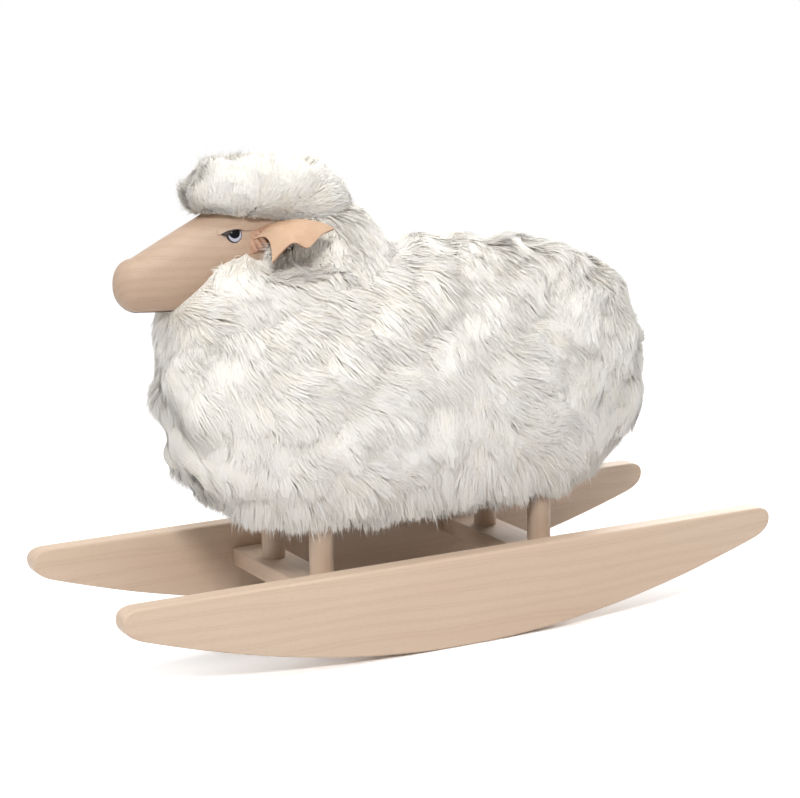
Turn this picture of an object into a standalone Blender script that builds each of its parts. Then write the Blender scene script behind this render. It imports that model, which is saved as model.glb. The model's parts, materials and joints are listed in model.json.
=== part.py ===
"""A rocking sheep: a wool-covered body on four dowel legs, two cross boards and two rockers.

Metres, +Z up. The head looks along -Y and the sheep's left side is +X. The origin is on the
floor, midway between the rockers and midway along them.
"""

import math

import bmesh
import bpy
from mathutils import Vector

# Clearances
GAP = 0.0003  # between pieces that lie against each other
BEAD_PLAY = 0.0005  # round the rolled root of an ear, which turns in its groove

# Rockers
ROCKER_LENGTH = 0.760
ROCKER_HEIGHT = 0.0955
ROCKER_THICKNESS = 0.0225
ROCKER_SPACING = 0.226  # between the inner faces
SOLE_RADIUS = 0.988  # of the sole at the middle
SOLE_EASE = 0.209  # in 1/m3, how much the sole straightens towards the tips
SOLE_LAND = 0.050  # the flat in the middle of the sole, on which the toy comes to rest
TIP_REACH = 0.019  # from the end of the straight top edge to the tip
TIP_DROP = 0.0127  # from the top edge down to the tip
TIP_HEEL = 0.022  # from the tip back to the start of the sole
ROCKER_ROUNDING = 0.0025

# Cross boards
BOARD_TOP = 0.0677  # above the floor
BOARD_WIDTH = 0.046
BOARD_THICKNESS = 0.019
BOARD_ROUNDING = 0.0015

# Hidden dowel pins from the rockers into the boards' ends
PIN_DIAMETER = 0.010
PIN_LENGTH = 0.040
PIN_IN_ROCKER = 0.015
PIN_SPREAD = 0.024  # between the two pins of a joint

# Legs
LEG_DIAMETER = 0.025
LEG_TRACK = 0.1144  # across, between the axes
LEG_BASE = 0.2614  # along, between the axes
LEG_SEAT = 0.012  # depth of the bore in a cross board
LEG_TENON = 0.012  # depth of the bore in the base board

# Countersunk screws, up through the cross boards into the legs
SCREW_LENGTH = 0.040
SCREW_DIAMETER = 0.005
SCREW_HEAD_DIAMETER = 0.0095
SCREW_HEAD_HEIGHT = 0.0028
SCREW_HEAD_EDGE = 0.0006  # the straight rim of the head
SCREW_SINK = 0.0005  # of the head into the board's underside
SCREW_DRIVE = 0.0036  # the square recess, corner to corner
SCREW_DRIVE_DEPTH = 0.0016

# Wooden core of the body
BELLY_HEIGHT = 0.140  # underside of the body above the floor
BASE_END_BORDER = 0.0118  # of wood beyond the legs, along
BASE_SIDE_BORDER = 0.0023  # of wood beyond the legs, across
BASE_WIDTH = LEG_TRACK + LEG_DIAMETER + 2 * BASE_SIDE_BORDER
BASE_LENGTH = LEG_BASE + LEG_DIAMETER + 2 * BASE_END_BORDER
BASE_THICKNESS = 0.018
FORMER_WIDTH = 0.120
FORMER_HEIGHT = 0.150
FORMER_THICKNESS = 0.018
FORMER_CORNER = 0.040
SPINE_WIDTH = 0.060
SPINE_HEIGHT = 0.036
SPINE_LENGTH = BASE_LENGTH
SPINE_LOW = BELLY_HEIGHT + BASE_THICKNESS + GAP + FORMER_HEIGHT + GAP  # its underside
POST_DIAMETER = 0.030
POST_SETBACK = 0.023  # from the spine's front end to the neck post's foot
POST_FOOT_HEIGHT = 0.0194  # above the spine's underside
POST_FOOT = (POST_SETBACK - SPINE_LENGTH / 2, SPINE_LOW + POST_FOOT_HEIGHT)  # y and z
POST_TOP = (-0.170, 0.424)  # y and z, inside the head

# Head: y, top z, bottom z and half width of sections from the snout to the back of the skull
HEAD_SECTIONS = (
    (-0.301, 0.4100, 0.3565, 0.0225),
    (-0.266, 0.4275, 0.3545, 0.0265),
    (-0.234, 0.4430, 0.3560, 0.0305),
    (-0.200, 0.4590, 0.3610, 0.0345),
    (-0.165, 0.4620, 0.3740, 0.0360),
    (-0.140, 0.4550, 0.3900, 0.0330),
)
SNOUT_ROUNDING = 0.0215
SKULL_ROUNDING = 0.020
HEAD_SQUARENESS = 2.5  # exponent of its sections, 2 being an ellipse

# Glass eyes
EYE_PLACE = (-0.206, 0.430)  # y and z of the middle of an eye
EYE_DIAMETER = 0.0165
EYE_DOME = 0.0042
EYE_RIM = 0.0030
EYE_STEM_DIAMETER = 0.006
EYE_STEM_LENGTH = 0.009
EYE_SINK = 0.0016  # of the rim's front edge below the head's side

# Leather ears. The points are on the left ear, in metres from the origin
EAR_THICKNESS = 0.0022
EAR_BEAD_RADIUS = 0.0030
EAR_ROOT = ((0.0385, -0.1880, 0.4235), (0.0385, -0.1720, 0.4355))
EAR_MIDDLE = ((0.0520, -0.1720, 0.4370), (0.0700, -0.1600, 0.4500), (0.0530, -0.1400, 0.4500))
EAR_EDGE = (
    (0.0710, -0.1835, 0.4045),
    (0.0810, -0.1665, 0.4235),
    (0.0850, -0.1515, 0.4185),
    (0.0800, -0.1340, 0.4290),
    (0.0700, -0.1145, 0.4325),
)

# Padded and wool-covered forms: middle, half sizes, and how square they are, 2 being an ellipse
BODY_MIDDLE = (0.0, 0.002, 0.262)
BODY_HALF = (0.122, 0.269, 0.142)
BODY_SQUARENESS_ALONG = 3.0
BODY_SQUARENESS_ACROSS = 2.5
BODY_SHOULDER = 0.94  # width at the shoulders as a share of the width at the rump
NECK_MIDDLE = (0.0, -0.140, 0.345)
NECK_HALF = (0.085, 0.126, 0.105)
NECK_SQUARENESS_ALONG = 2.3
NECK_SQUARENESS_ACROSS = 2.2
NECK_LEAN_DEGREES = 16.7  # back from upright
CAP_MIDDLE = (0.0, -0.157, 0.4655)
CAP_HALF = (0.056, 0.088, 0.039)
CAP_SQUARENESS_ALONG = 2.2
CAP_SQUARENESS_ACROSS = 2.1
CAP_SLOPE_DEGREES = 4.0  # down towards the back
BILLOW_DEPTH = 0.010  # of the fleece's lumps, from hollow to crest
BILLOW_SPACING = 0.062
BILLOW_FADE = 0.070  # above the belly, where the lumps grow to their full depth
BILLOW_WAYS = ((0.30, 0.95, 0.10), (0.60, -0.42, 0.68), (-0.55, -0.45, 0.70))  # of the three waves
ELLIPSE = (2.0, 2.0)
EAR_POCKET_MIDDLE = (0.073, -0.157, 0.421)
EAR_POCKET_HALF = (0.048, 0.068, 0.038)

ROUND_SIDES = 32
SMALL_SIDES = 16


def clear_scene():
    """Removes the objects that the file starts with."""
    for thing in list(bpy.data.objects):
        bpy.data.objects.remove(thing, do_unlink=True)


def new_collection(name, hidden=False):
    """A collection under the scene's own."""
    collection = bpy.data.collections.new(name)
    collection.hide_render = hidden
    bpy.context.scene.collection.children.link(collection)
    return collection


def new_material(name, colour, roughness, metallic=0.0):
    """A Principled material in one colour."""
    material = bpy.data.materials.new(name)
    material.use_nodes = True
    shader = material.node_tree.nodes["Principled BSDF"]
    shader.inputs["Base Color"].default_value = (*colour, 1.0)
    shader.inputs["Roughness"].default_value = roughness
    shader.inputs["Metallic"].default_value = metallic
    material.diffuse_color = (*colour, 1.0)
    return material


clear_scene()
PARTS = new_collection("rocking_sheep")
CUTTERS = new_collection("cutters", hidden=True)
BEECH = ("beech", (0.69, 0.53, 0.40), 0.5)
PLY = ("plywood", (0.66, 0.52, 0.36), 0.6)
WOOL = ("wool", (0.87, 0.84, 0.78), 0.95)
LEATHER = ("leather", (0.80, 0.56, 0.36), 0.6)
GLASS = ("eye_glass", (0.03, 0.03, 0.05), 0.08)
STEEL = ("zinc_plated_steel", (0.62, 0.62, 0.60), 0.35, 1.0)


def add_object(name, mesh, finish=None, place=(0.0, 0.0, 0.0), turn=None):
    """Adds a piece with its own material, or a hidden cutter where it has no finish."""
    thing = bpy.data.objects.new(name, mesh)
    thing.location = place
    if turn is not None:
        thing.rotation_mode = "QUATERNION"
        thing.rotation_quaternion = turn
    if finish is None:
        thing.hide_render = True
        thing.display_type = "WIRE"
        CUTTERS.objects.link(thing)
    else:
        mesh.materials.append(new_material(f"{name}_{finish[0]}", *finish[1:]))
        PARTS.objects.link(thing)
    return thing


def mesh_from(name, shape):
    """A mesh from a bmesh, with its faces pointing out."""
    bmesh.ops.recalc_face_normals(shape, faces=shape.faces[:])
    if shape.calc_volume(signed=True) < 0:
        bmesh.ops.reverse_faces(shape, faces=shape.faces[:])
    mesh = bpy.data.meshes.new(name)
    shape.to_mesh(mesh)
    shape.free()
    return mesh


def shade_round(thing, angle=40.0):
    """Smooth shading that leaves the hard edges sharp."""
    thing.data.shade_smooth()
    thing.data.set_sharp_from_angle(angle=math.radians(angle))


def cut(thing, cutter, operation="DIFFERENCE"):
    """A live Boolean with the exact solver."""
    step = thing.modifiers.new(f"{operation.lower()}_{cutter.name}", "BOOLEAN")
    step.solver = "EXACT"
    step.operation = operation
    step.object = cutter


def soften(thing, width, segments=2):
    """Rounds the hard edges."""
    step = thing.modifiers.new("rounding", "BEVEL")
    step.width = width
    step.segments = segments
    step.limit_method = "ANGLE"
    step.angle_limit = math.radians(50.0)


def box(name, size, middle, finish=None):
    """A box, placed by its middle."""
    shape = bmesh.new()
    bmesh.ops.create_cube(shape, size=1.0)
    bmesh.ops.scale(shape, vec=size, verts=shape.verts[:])
    return add_object(name, mesh_from(name, shape), finish, middle)


def rod(name, radius, start, end, finish=None, sides=ROUND_SIDES):
    """A round bar from one point to another. Its origin is its middle."""
    start, end = Vector(start), Vector(end)
    shape = bmesh.new()
    bmesh.ops.create_cone(
        shape,
        cap_ends=True,
        segments=sides,
        radius1=radius,
        radius2=radius,
        depth=(end - start).length,
    )
    turn = Vector((0.0, 0.0, 1.0)).rotation_difference(end - start)
    thing = add_object(name, mesh_from(name, shape), finish, (start + end) / 2, turn)
    shade_round(thing)
    return thing


def plate(name, outline, thickness, middle, turn, finish):
    """A flat outline extruded both ways from its plane, as a welded mesh."""
    curve = bpy.data.curves.new(name, "CURVE")
    curve.dimensions = "2D"
    curve.fill_mode = "BOTH"
    curve.extrude = thickness / 2
    spline = curve.splines.new("POLY")
    spline.points.add(len(outline) - 1)
    for point, (across, up) in zip(spline.points, outline):
        point.co = (across, up, 0.0, 1.0)
    spline.use_cyclic_u = True
    guide = bpy.data.objects.new(f"{name}_outline", curve)
    CUTTERS.objects.link(guide)
    bpy.context.view_layer.update()
    graph = bpy.context.evaluated_depsgraph_get()
    flat = bpy.data.meshes.new_from_object(guide.evaluated_get(graph))
    bpy.data.objects.remove(guide, do_unlink=True)
    shape = bmesh.new()
    shape.from_mesh(flat)
    bpy.data.meshes.remove(flat)
    bmesh.ops.remove_doubles(shape, verts=shape.verts[:], dist=1e-6)
    bmesh.ops.dissolve_limit(
        shape, angle_limit=math.radians(0.2), verts=shape.verts[:], edges=shape.edges[:]
    )
    thing = add_object(name, mesh_from(name, shape), finish, middle, turn)
    shade_round(thing)
    return thing


def turned(name, profile, place, turn, finish, steps=SMALL_SIDES):
    """A profile in the XZ plane, listed from the top down, swept round its Z axis."""
    shape = bmesh.new()
    ring = [shape.verts.new((radius, 0.0, height)) for radius, height in profile]
    for first, second in zip(ring, ring[1:]):
        shape.edges.new((first, second))
    mesh = bpy.data.meshes.new(name)
    shape.to_mesh(mesh)
    shape.free()
    thing = add_object(name, mesh, finish, place, turn)
    sweep = thing.modifiers.new("sweep", "SCREW")
    sweep.axis = "Z"
    sweep.steps = steps
    sweep.render_steps = steps
    sweep.use_merge_vertices = True
    sweep.merge_threshold = 0.00002
    sweep.use_smooth_shade = True
    return thing


def ringed(name, place, rings, sides, finish=None):
    """A sphere reshaped ring by ring: place(t, angle) gives each point, t from 0 to 1."""
    shape = bmesh.new()
    bmesh.ops.create_uvsphere(shape, u_segments=sides, v_segments=rings, radius=1.0)
    for vertex in shape.verts:
        along = math.acos(max(-1.0, min(1.0, vertex.co.z))) / math.pi
        vertex.co = place(along, math.atan2(vertex.co.y, vertex.co.x))
    bmesh.ops.triangulate(shape, faces=shape.faces, quad_method="FIXED")
    thing = add_object(name, mesh_from(name, shape), finish)
    thing.data.shade_smooth()
    return thing


def signed_power(value, exponent):
    """A power that keeps the sign."""
    return math.copysign(abs(value) ** exponent, value)


def billow(point):
    """Lumps of the fleece at a point, from -0.5 in a hollow to 0.5 on a crest."""
    wave = BILLOW_SPACING * math.sqrt(3) / 2
    rise = sum(math.cos(2 * math.pi * point.dot(Vector(way).normalized()) / wave) for way in BILLOW_WAYS)
    fade = max(0.0, min(1.0, (point.z - BELLY_HEIGHT) / BILLOW_FADE))
    return fade * math.tanh(0.8 * rise) / 2


def swelling(middle, half, squareness, grow=0.0, front=1.0, lean=0.0, slope=0.0, lumps=0.0):
    """Ring places of a padded form whose width changes from front, at -Y, to 1 at the back."""
    along_power, across_power = (2.0 / value for value in squareness)
    centre = Vector(middle)

    def plain(t, angle, extra):
        half_x, half_y, half_z = (value + extra for value in half)
        reach = signed_power(math.cos(math.pi * t), along_power)
        spread = abs(math.sin(math.pi * t)) ** along_power
        width = half_x * (front + (1.0 - front) * (1.0 - reach) / 2)
        height = half_z * spread * signed_power(math.sin(angle), across_power)
        back = lean * height - half_y * reach
        side = width * spread * signed_power(math.cos(angle), across_power)
        return Vector((side, back, height - slope * back))

    def place(t, angle):
        inner = plain(t, angle, 0.0)
        rise = lumps * billow(centre + inner)
        return centre + plain(t, angle, grow) + rise * inner.normalized()

    return place


def curve_through(points, position):
    """A smooth value through evenly spaced points, position from 0 to 1."""
    last = len(points) - 1
    index = min(int(position * last), last - 1)
    rest = position * last - index
    before = Vector(points[max(index - 1, 0)])
    start, end = Vector(points[index]), Vector(points[index + 1])
    after = Vector(points[min(index + 2, last)])
    leave, arrive = (end - before) / 2, (after - start) / 2
    return (
        start * (2 * rest**3 - 3 * rest**2 + 1)
        + leave * (rest**3 - 2 * rest**2 + rest)
        + end * (3 * rest**2 - 2 * rest**3)
        + arrive * (rest**3 - rest**2)
    )


def head_section(y):
    """Top, bottom and half width of the head at y, smooth from section to section."""
    last = len(HEAD_SECTIONS) - 1
    y = max(HEAD_SECTIONS[0][0], min(HEAD_SECTIONS[last][0], y))
    index = 0
    while index < last - 1 and y > HEAD_SECTIONS[index + 1][0]:
        index += 1

    def slope(i):
        low, high = HEAD_SECTIONS[max(i - 1, 0)], HEAD_SECTIONS[min(i + 1, last)]
        return [(b - a) / (high[0] - low[0]) for a, b in zip(low[1:], high[1:])]

    start, end = HEAD_SECTIONS[index], HEAD_SECTIONS[index + 1]
    step = end[0] - start[0]
    rest = (y - start[0]) / step
    return [
        a * (2 * rest**3 - 3 * rest**2 + 1)
        + from_slope * step * (rest**3 - 2 * rest**2 + rest)
        + b * (3 * rest**2 - 2 * rest**3)
        + to_slope * step * (rest**3 - rest**2)
        for a, b, from_slope, to_slope in zip(start[1:], end[1:], slope(index), slope(index + 1))
    ]


def head_form(grow=0.0):
    """Ring places of the head, its snout and skull rounded off beyond the end sections."""
    snout_share, skull_share = 0.22, 0.18
    first, last = HEAD_SECTIONS[0][0], HEAD_SECTIONS[-1][0]
    power = 2.0 / HEAD_SQUARENESS

    def place(t, angle):
        size = 1.0
        if t < snout_share:
            turn = t / snout_share * math.pi / 2
            y, size = first - (SNOUT_ROUNDING + grow) * math.cos(turn), math.sin(turn)
        elif t > 1.0 - skull_share:
            turn = (1.0 - t) / skull_share * math.pi / 2
            y, size = last + (SKULL_ROUNDING + grow) * math.cos(turn), math.sin(turn)
        else:
            y = first + (last - first) * (t - snout_share) / (1.0 - snout_share - skull_share)
        top, bottom, width = head_section(y)
        return Vector(
            (
                (width + grow) * size * signed_power(math.cos(angle), power),
                y,
                (top + bottom) / 2
                + ((top - bottom) / 2 + grow) * size * signed_power(math.sin(angle), power),
            )
        )

    return place


def head_side(y, z):
    """Half width of the head at a height inside its section."""
    top, bottom, width = head_section(y)
    height = abs(z - (top + bottom) / 2) / ((top - bottom) / 2)
    return width * max(0.0, 1.0 - height**HEAD_SQUARENESS) ** (1.0 / HEAD_SQUARENESS)


def sole_height(y):
    """Height of the sole's curve above the floor."""
    return y**2 / (2 * SOLE_RADIUS) - SOLE_EASE * y**4


def rocker_outline(sole_steps=18, tip_steps=6):
    """The rocker's side view: straight top edge, rounded tips and a curved sole with a land."""
    half = ROCKER_LENGTH / 2
    heel = half - TIP_HEEL
    heel_height = sole_height(heel)
    heel_slope = heel / SOLE_RADIUS - 4 * SOLE_EASE * heel**3
    tip = (half, ROCKER_HEIGHT - TIP_DROP)

    def bend(start, corner, end, steps):
        """Points of a parabola from start to end, without the last one."""
        for index in range(steps):
            t = index / steps
            yield tuple(
                a * (1 - t) ** 2 + 2 * b * t * (1 - t) + c * t**2
                for a, b, c in zip(start, corner, end)
            )

    top_end = (half - TIP_REACH, ROCKER_HEIGHT)
    side = list(bend(top_end, (half, ROCKER_HEIGHT), tip, tip_steps))
    lower_corner = (half, heel_height + heel_slope * TIP_HEEL)
    side += bend(tip, lower_corner, (heel, heel_height), tip_steps)
    land = SOLE_LAND / 2
    drop = sole_height(land)
    for index in range(sole_steps + 1):
        y = heel + (land - heel) * index / sole_steps
        side.append((y, sole_height(y) - drop * (1 - (y - land) / (heel - land))))
    return side + [(-y, z) for y, z in reversed(side)]


def make_rockers():
    """Both rockers, with their blind pin bores."""
    from_side = Vector((1.0, 1.0, 1.0)).normalized()
    turn = Vector((0, 0, 1)).rotation_difference(Vector((0, 0, 1)))
    turn.rotate(from_axis_angle(from_side, 2 * math.pi / 3))
    for side, sign in (("left", 1), ("right", -1)):
        middle = sign * (ROCKER_SPACING + ROCKER_THICKNESS) / 2
        rocker = plate(
            f"rocker_{side}", rocker_outline(), ROCKER_THICKNESS, (middle, 0, 0), turn, BEECH
        )
        soften(rocker, ROCKER_ROUNDING)
        for bore in PIN_BORES:
            if (bore.location.x > 0) == (sign > 0):
                cut(rocker, bore)


def from_axis_angle(axis, angle):
    """A quaternion from an axis and an angle."""
    turn = Vector((0, 0, 1)).rotation_difference(Vector((0, 0, 1)))
    turn.w = math.cos(angle / 2)
    turn.x, turn.y, turn.z = Vector(axis) * math.sin(angle / 2)
    return turn


def pin_places():
    """Name, start and end of each pin's axis."""
    height = BOARD_TOP - BOARD_THICKNESS / 2
    face = ROCKER_SPACING / 2
    for side, sign in (("left", 1), ("right", -1)):
        for end, along in (("front", -1), ("rear", 1)):
            for number, offset in (("a", -0.5), ("b", 0.5)):
                y = along * LEG_BASE / 2 + offset * PIN_SPREAD
                outer = sign * (face + PIN_IN_ROCKER)
                inner = sign * (face + PIN_IN_ROCKER - PIN_LENGTH)
                yield f"joint_pin_{end}_{side}_{number}", (inner, y, height), (outer, y, height)


def joined_cutter(name, pieces):
    """One hidden cutter from several that don't touch."""
    shape = bmesh.new()
    for piece in pieces:
        start = len(shape.verts)
        shape.from_mesh(piece.data)
        shape.verts.ensure_lookup_table()
        turn = piece.rotation_quaternion.to_matrix().to_4x4()
        if piece.rotation_mode != "QUATERNION":
            turn.identity()
        for vertex in shape.verts[start:]:
            vertex.co = turn @ vertex.co + piece.location
        bpy.data.objects.remove(piece, do_unlink=True)
    return add_object(name, mesh_from(name, shape))


def make_pins():
    """The dowel pins, and the cutters of their bores."""
    bores = []
    for name, inner, outer in pin_places():
        rod(name, PIN_DIAMETER / 2, inner, outer, BEECH, SMALL_SIDES)
        reach = math.copysign(GAP, outer[0])
        inside = (inner[0] - reach, *inner[1:])
        beyond = (outer[0] + reach, *outer[1:])
        bores.append(rod(f"{name}_bore", PIN_DIAMETER / 2 + GAP, inside, beyond, None, SMALL_SIDES))
    return bores


def leg_places():
    """Name, x and y of each leg's axis."""
    for end, along in (("front", -1), ("rear", 1)):
        for side, sign in (("left", 1), ("right", -1)):
            yield f"{end}_{side}", sign * LEG_TRACK / 2, along * LEG_BASE / 2


def screw_profile(grow=0.0, well=0.0):
    """Half section of a countersunk screw, head down, or of its hole with a well below the head."""
    shank, head = SCREW_DIAMETER / 2 + grow, SCREW_HEAD_DIAMETER / 2 + grow
    return (
        (0.0, SCREW_LENGTH + grow),
        (shank * 0.35, SCREW_LENGTH + grow),
        (shank, SCREW_LENGTH - SCREW_DIAMETER),
        (shank, SCREW_HEAD_HEIGHT),
        (head, SCREW_HEAD_EDGE),
        (head, -well),
        (0.0, -well),
    )


def make_legs_and_boards():
    """Legs, the screws that hold them, and the two cross boards with every bore in them."""
    seat_floor = BOARD_TOP - LEG_SEAT
    underside = BOARD_TOP - BOARD_THICKNESS
    head_height = underside + SCREW_SINK
    seats, holes, tenons = [], [], []
    upright = from_axis_angle((0, 0, 1), 0.0)
    for name, x, y in leg_places():
        top = BELLY_HEIGHT + LEG_TENON
        leg = rod(
            f"leg_{name}",
            LEG_DIAMETER / 2,
            (x, y, seat_floor + GAP),
            (x, y, top - GAP),
            BEECH,
        )
        screw = turned(
            f"leg_screw_{name}", screw_profile(), (x, y, head_height), upright, STEEL
        )
        drive = rod(
            f"drive_{name}",
            SCREW_DRIVE / 2,
            (x, y, head_height - SCREW_DRIVE_DEPTH),
            (x, y, head_height + SCREW_DRIVE_DEPTH),
            None,
            4,
        )
        cut(screw, drive)
        hole_profile = screw_profile(GAP, BOARD_THICKNESS)
        hole = turned(f"screw_hole_{name}", hole_profile, (x, y, head_height), upright, None)
        cut(leg, hole)
        holes.append(hole)
        bore = LEG_DIAMETER / 2 + GAP
        seats.append(
            rod(f"seat_{name}", bore, (x, y, seat_floor), (x, y, BOARD_TOP + LEG_SEAT))
        )
        tenons.append(rod(f"tenon_{name}", bore, (x, y, BELLY_HEIGHT - LEG_TENON), (x, y, top)))
    length = ROCKER_SPACING - 2 * GAP
    for end, along in (("front", -1), ("rear", 1)):
        board = box(
            f"cross_board_{end}",
            (length, BOARD_WIDTH, BOARD_THICKNESS),
            (0, along * LEG_BASE / 2, BOARD_TOP - BOARD_THICKNESS / 2),
            BEECH,
        )
        soften(board, BOARD_ROUNDING)
        for cutter in (*PIN_BORES, *seats, *holes):
            if (cutter.location.y > 0) == (along > 0):
                cut(board, cutter)
    return joined_cutter("leg_tenons", tenons)


def former_outline(grow=0.0, corner_steps=6):
    """An upright plate with round upper corners, its foot on the base board."""
    half, height = FORMER_WIDTH / 2 + grow, FORMER_HEIGHT + grow
    corner = FORMER_CORNER + grow
    right = [(half, -grow)]
    for index in range(corner_steps + 1):
        angle = math.pi / 2 * index / corner_steps
        right.append(
            (half - corner + corner * math.cos(angle), height - corner + corner * math.sin(angle))
        )
    return right + [(-x, z) for x, z in reversed(right)]


def make_core():
    """The base board, two formers, the spine and the neck post, and cutters of the same."""
    base_top = BELLY_HEIGHT + BASE_THICKNESS
    base_size = (BASE_WIDTH, BASE_LENGTH, BASE_THICKNESS)
    base_middle = (0, 0, BELLY_HEIGHT + BASE_THICKNESS / 2)
    base = box("base_board", base_size, base_middle, PLY)
    cut(base, TENON_BORES)
    spine_size = (SPINE_WIDTH, SPINE_LENGTH, SPINE_HEIGHT)
    spine_middle = (0, 0, SPINE_LOW + SPINE_HEIGHT / 2)
    spine = box("spine_rail", spine_size, spine_middle, BEECH)
    foot, head = (0, *POST_FOOT), (0, *POST_TOP)
    rod("neck_post", POST_DIAMETER / 2, foot, head, BEECH)
    along = (Vector(head) - Vector(foot)).normalized() * GAP
    post_bore = rod("post_bore", POST_DIAMETER / 2 + GAP, Vector(foot) - along, Vector(head) + along)
    cut(spine, post_bore)
    upright = from_axis_angle((1, 0, 0), math.pi / 2)
    cutters = [post_bore]
    for end, sign in (("front", -1), ("rear", 1)):
        place = (0, sign * LEG_BASE / 2, base_top + GAP)
        plate(f"former_{end}", former_outline(), FORMER_THICKNESS, place, upright, PLY)
        room = plate(
            f"former_room_{end}",
            former_outline(GAP),
            FORMER_THICKNESS + 2 * GAP,
            place,
            upright,
            None,
        )
        cutters.append(room)
    for name, size, middle in (("base", base_size, base_middle), ("spine", spine_size, spine_middle)):
        grown = [value + 2 * GAP for value in size]
        cutters.append(box(f"{name}_room", grown, middle))
    return cutters


def make_head():
    """The carved head with its eye seats, post bore and ear grooves, and a grown copy to cut with."""
    head = ringed("head", head_form(), 30, 28, BEECH)
    y, z = EYE_PLACE
    step = 0.001
    x = head_side(y, z)
    lean_y = (head_side(y + step, z) - head_side(y - step, z)) / (2 * step)
    lean_z = (head_side(y, z + step) - head_side(y, z - step)) / (2 * step)
    seats = []
    for side, sign in (("left", 1), ("right", -1)):
        out = Vector((sign, -lean_y, -lean_z)).normalized()
        turn = Vector((0.0, 0.0, 1.0)).rotation_difference(out)
        place = Vector((sign * x, y, z)) - out * EYE_SINK
        turned(f"eye_{side}", eye_profile(), place, turn, GLASS, ROUND_SIDES)
        rim, stem = EYE_DIAMETER / 2 + GAP, EYE_STEM_DIAMETER / 2 + GAP
        floor = place - out * (EYE_RIM + GAP)
        end = place - out * (EYE_RIM + EYE_STEM_LENGTH + GAP)
        seats.append(rod(f"eye_seat_{side}", rim, floor, place + out * EYE_DIAMETER))
        seats.append(rod(f"eye_bore_{side}", stem, end, place, None, SMALL_SIDES))
    for seat in seats:
        cut(head, seat)
    cut(head, POST_BORE)
    grown = ringed("head_room", head_form(GAP), 30, 28)
    return head, grown


def eye_profile(dome_steps=6):
    """Half section of a glass eye: a dome in front, a rim, and a stem behind."""
    radius = EYE_DIAMETER / 2
    dome = [
        (radius * math.sin(angle), EYE_DOME * math.cos(angle))
        for angle in (math.pi / 2 * index / dome_steps for index in range(dome_steps + 1))
    ]
    stem = EYE_STEM_DIAMETER / 2
    foot = -EYE_RIM - EYE_STEM_LENGTH
    return dome + [(radius, -EYE_RIM), (stem, -EYE_RIM), (stem, foot), (0.0, foot)]


def ear_point(outward, along):
    """A point of the left ear's sheet: outward from root to edge, along from front to rear."""
    root = Vector(EAR_ROOT[0]).lerp(Vector(EAR_ROOT[1]), along)
    middle = curve_through(EAR_MIDDLE, along)
    edge = curve_through(EAR_EDGE, along)
    return root * (1 - outward) ** 2 + middle * 2 * outward * (1 - outward) + edge * outward**2


def make_ears(head, rows=7, columns=13):
    """Both leather ears, each a cupped sheet on a rolled root that lies in a groove of the head."""
    root_middle = (Vector(EAR_ROOT[0]) + Vector(EAR_ROOT[1])) / 2
    axis = (Vector(EAR_ROOT[1]) - Vector(EAR_ROOT[0])).normalized()
    for side, sign in (("left", 1), ("right", -1)):
        def mirrored(point):
            return Vector((sign * point[0], point[1], point[2]))

        shape = bmesh.new()
        bmesh.ops.create_grid(shape, x_segments=rows, y_segments=columns, size=0.5)
        for vertex in shape.verts:
            point = ear_point(vertex.co.x + 0.5, vertex.co.y + 0.5)
            vertex.co = mirrored(point) - mirrored(root_middle)
        ear = add_object(f"ear_{side}", mesh_from(f"ear_{side}", shape), LEATHER, mirrored(root_middle))
        ear.data.shade_smooth()
        wall = ear.modifiers.new("thickness", "SOLIDIFY")
        wall.thickness = EAR_THICKNESS
        wall.offset = 0.0
        wall.use_even_offset = True
        start, end = (mirrored(point) for point in EAR_ROOT)
        bead = rod(f"ear_bead_{side}", EAR_BEAD_RADIUS, start, end, None, SMALL_SIDES)
        cut(ear, bead, "UNION")
        reach = mirrored(axis) * BEAD_PLAY
        groove = rod(
            f"ear_groove_{side}",
            EAR_BEAD_RADIUS + BEAD_PLAY,
            start - reach,
            end + reach,
            None,
            SMALL_SIDES,
        )
        cut(head, groove)


def make_fleece():
    """The padded, wool-covered forms: body, neck and forehead cap, each cut by the larger ones."""
    body_args = (BODY_MIDDLE, BODY_HALF, (BODY_SQUARENESS_ALONG, BODY_SQUARENESS_ACROSS))
    neck_args = (NECK_MIDDLE, NECK_HALF, (NECK_SQUARENESS_ALONG, NECK_SQUARENESS_ACROSS))
    cap_args = (CAP_MIDDLE, CAP_HALF, (CAP_SQUARENESS_ALONG, CAP_SQUARENESS_ACROSS))
    body_look = {"front": BODY_SHOULDER, "lumps": BILLOW_DEPTH}
    neck_look = {"lean": math.tan(math.radians(NECK_LEAN_DEGREES)), "lumps": BILLOW_DEPTH / 2}
    cap_look = {"slope": math.tan(math.radians(CAP_SLOPE_DEGREES)), "lumps": BILLOW_DEPTH / 4}
    body = ringed("body_fleece", swelling(*body_args, **body_look), 40, 48, WOOL)
    body_room = ringed("body_room", swelling(*body_args, GAP, **body_look), 40, 48)
    depth = BODY_HALF[2]
    under = box(
        "under_belly",
        (4 * BODY_HALF[0], 4 * BODY_HALF[1], depth),
        (0, 0, BELLY_HEIGHT - depth / 2),
    )
    cut(body, under)
    for room in CORE_ROOMS:
        cut(body, room)
    neck = ringed("neck_fleece", swelling(*neck_args, **neck_look), 22, 28, WOOL)
    neck_room = ringed("neck_room", swelling(*neck_args, GAP, **neck_look), 22, 28)
    cap = ringed("forehead_fleece", swelling(*cap_args, **cap_look), 18, 24, WOOL)
    for piece in (body, neck, cap):
        cut(piece, HEAD_ROOM)
    cut(neck, body_room)
    cut(neck, POST_BORE)
    cut(cap, neck_room)
    for side, sign in (("left", 1), ("right", -1)):
        middle = (sign * EAR_POCKET_MIDDLE[0], *EAR_POCKET_MIDDLE[1:])
        pocket = ringed(f"ear_pocket_{side}", swelling(middle, EAR_POCKET_HALF, ELLIPSE), 14, 20)
        for piece in (neck, cap):
            cut(piece, pocket)


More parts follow.
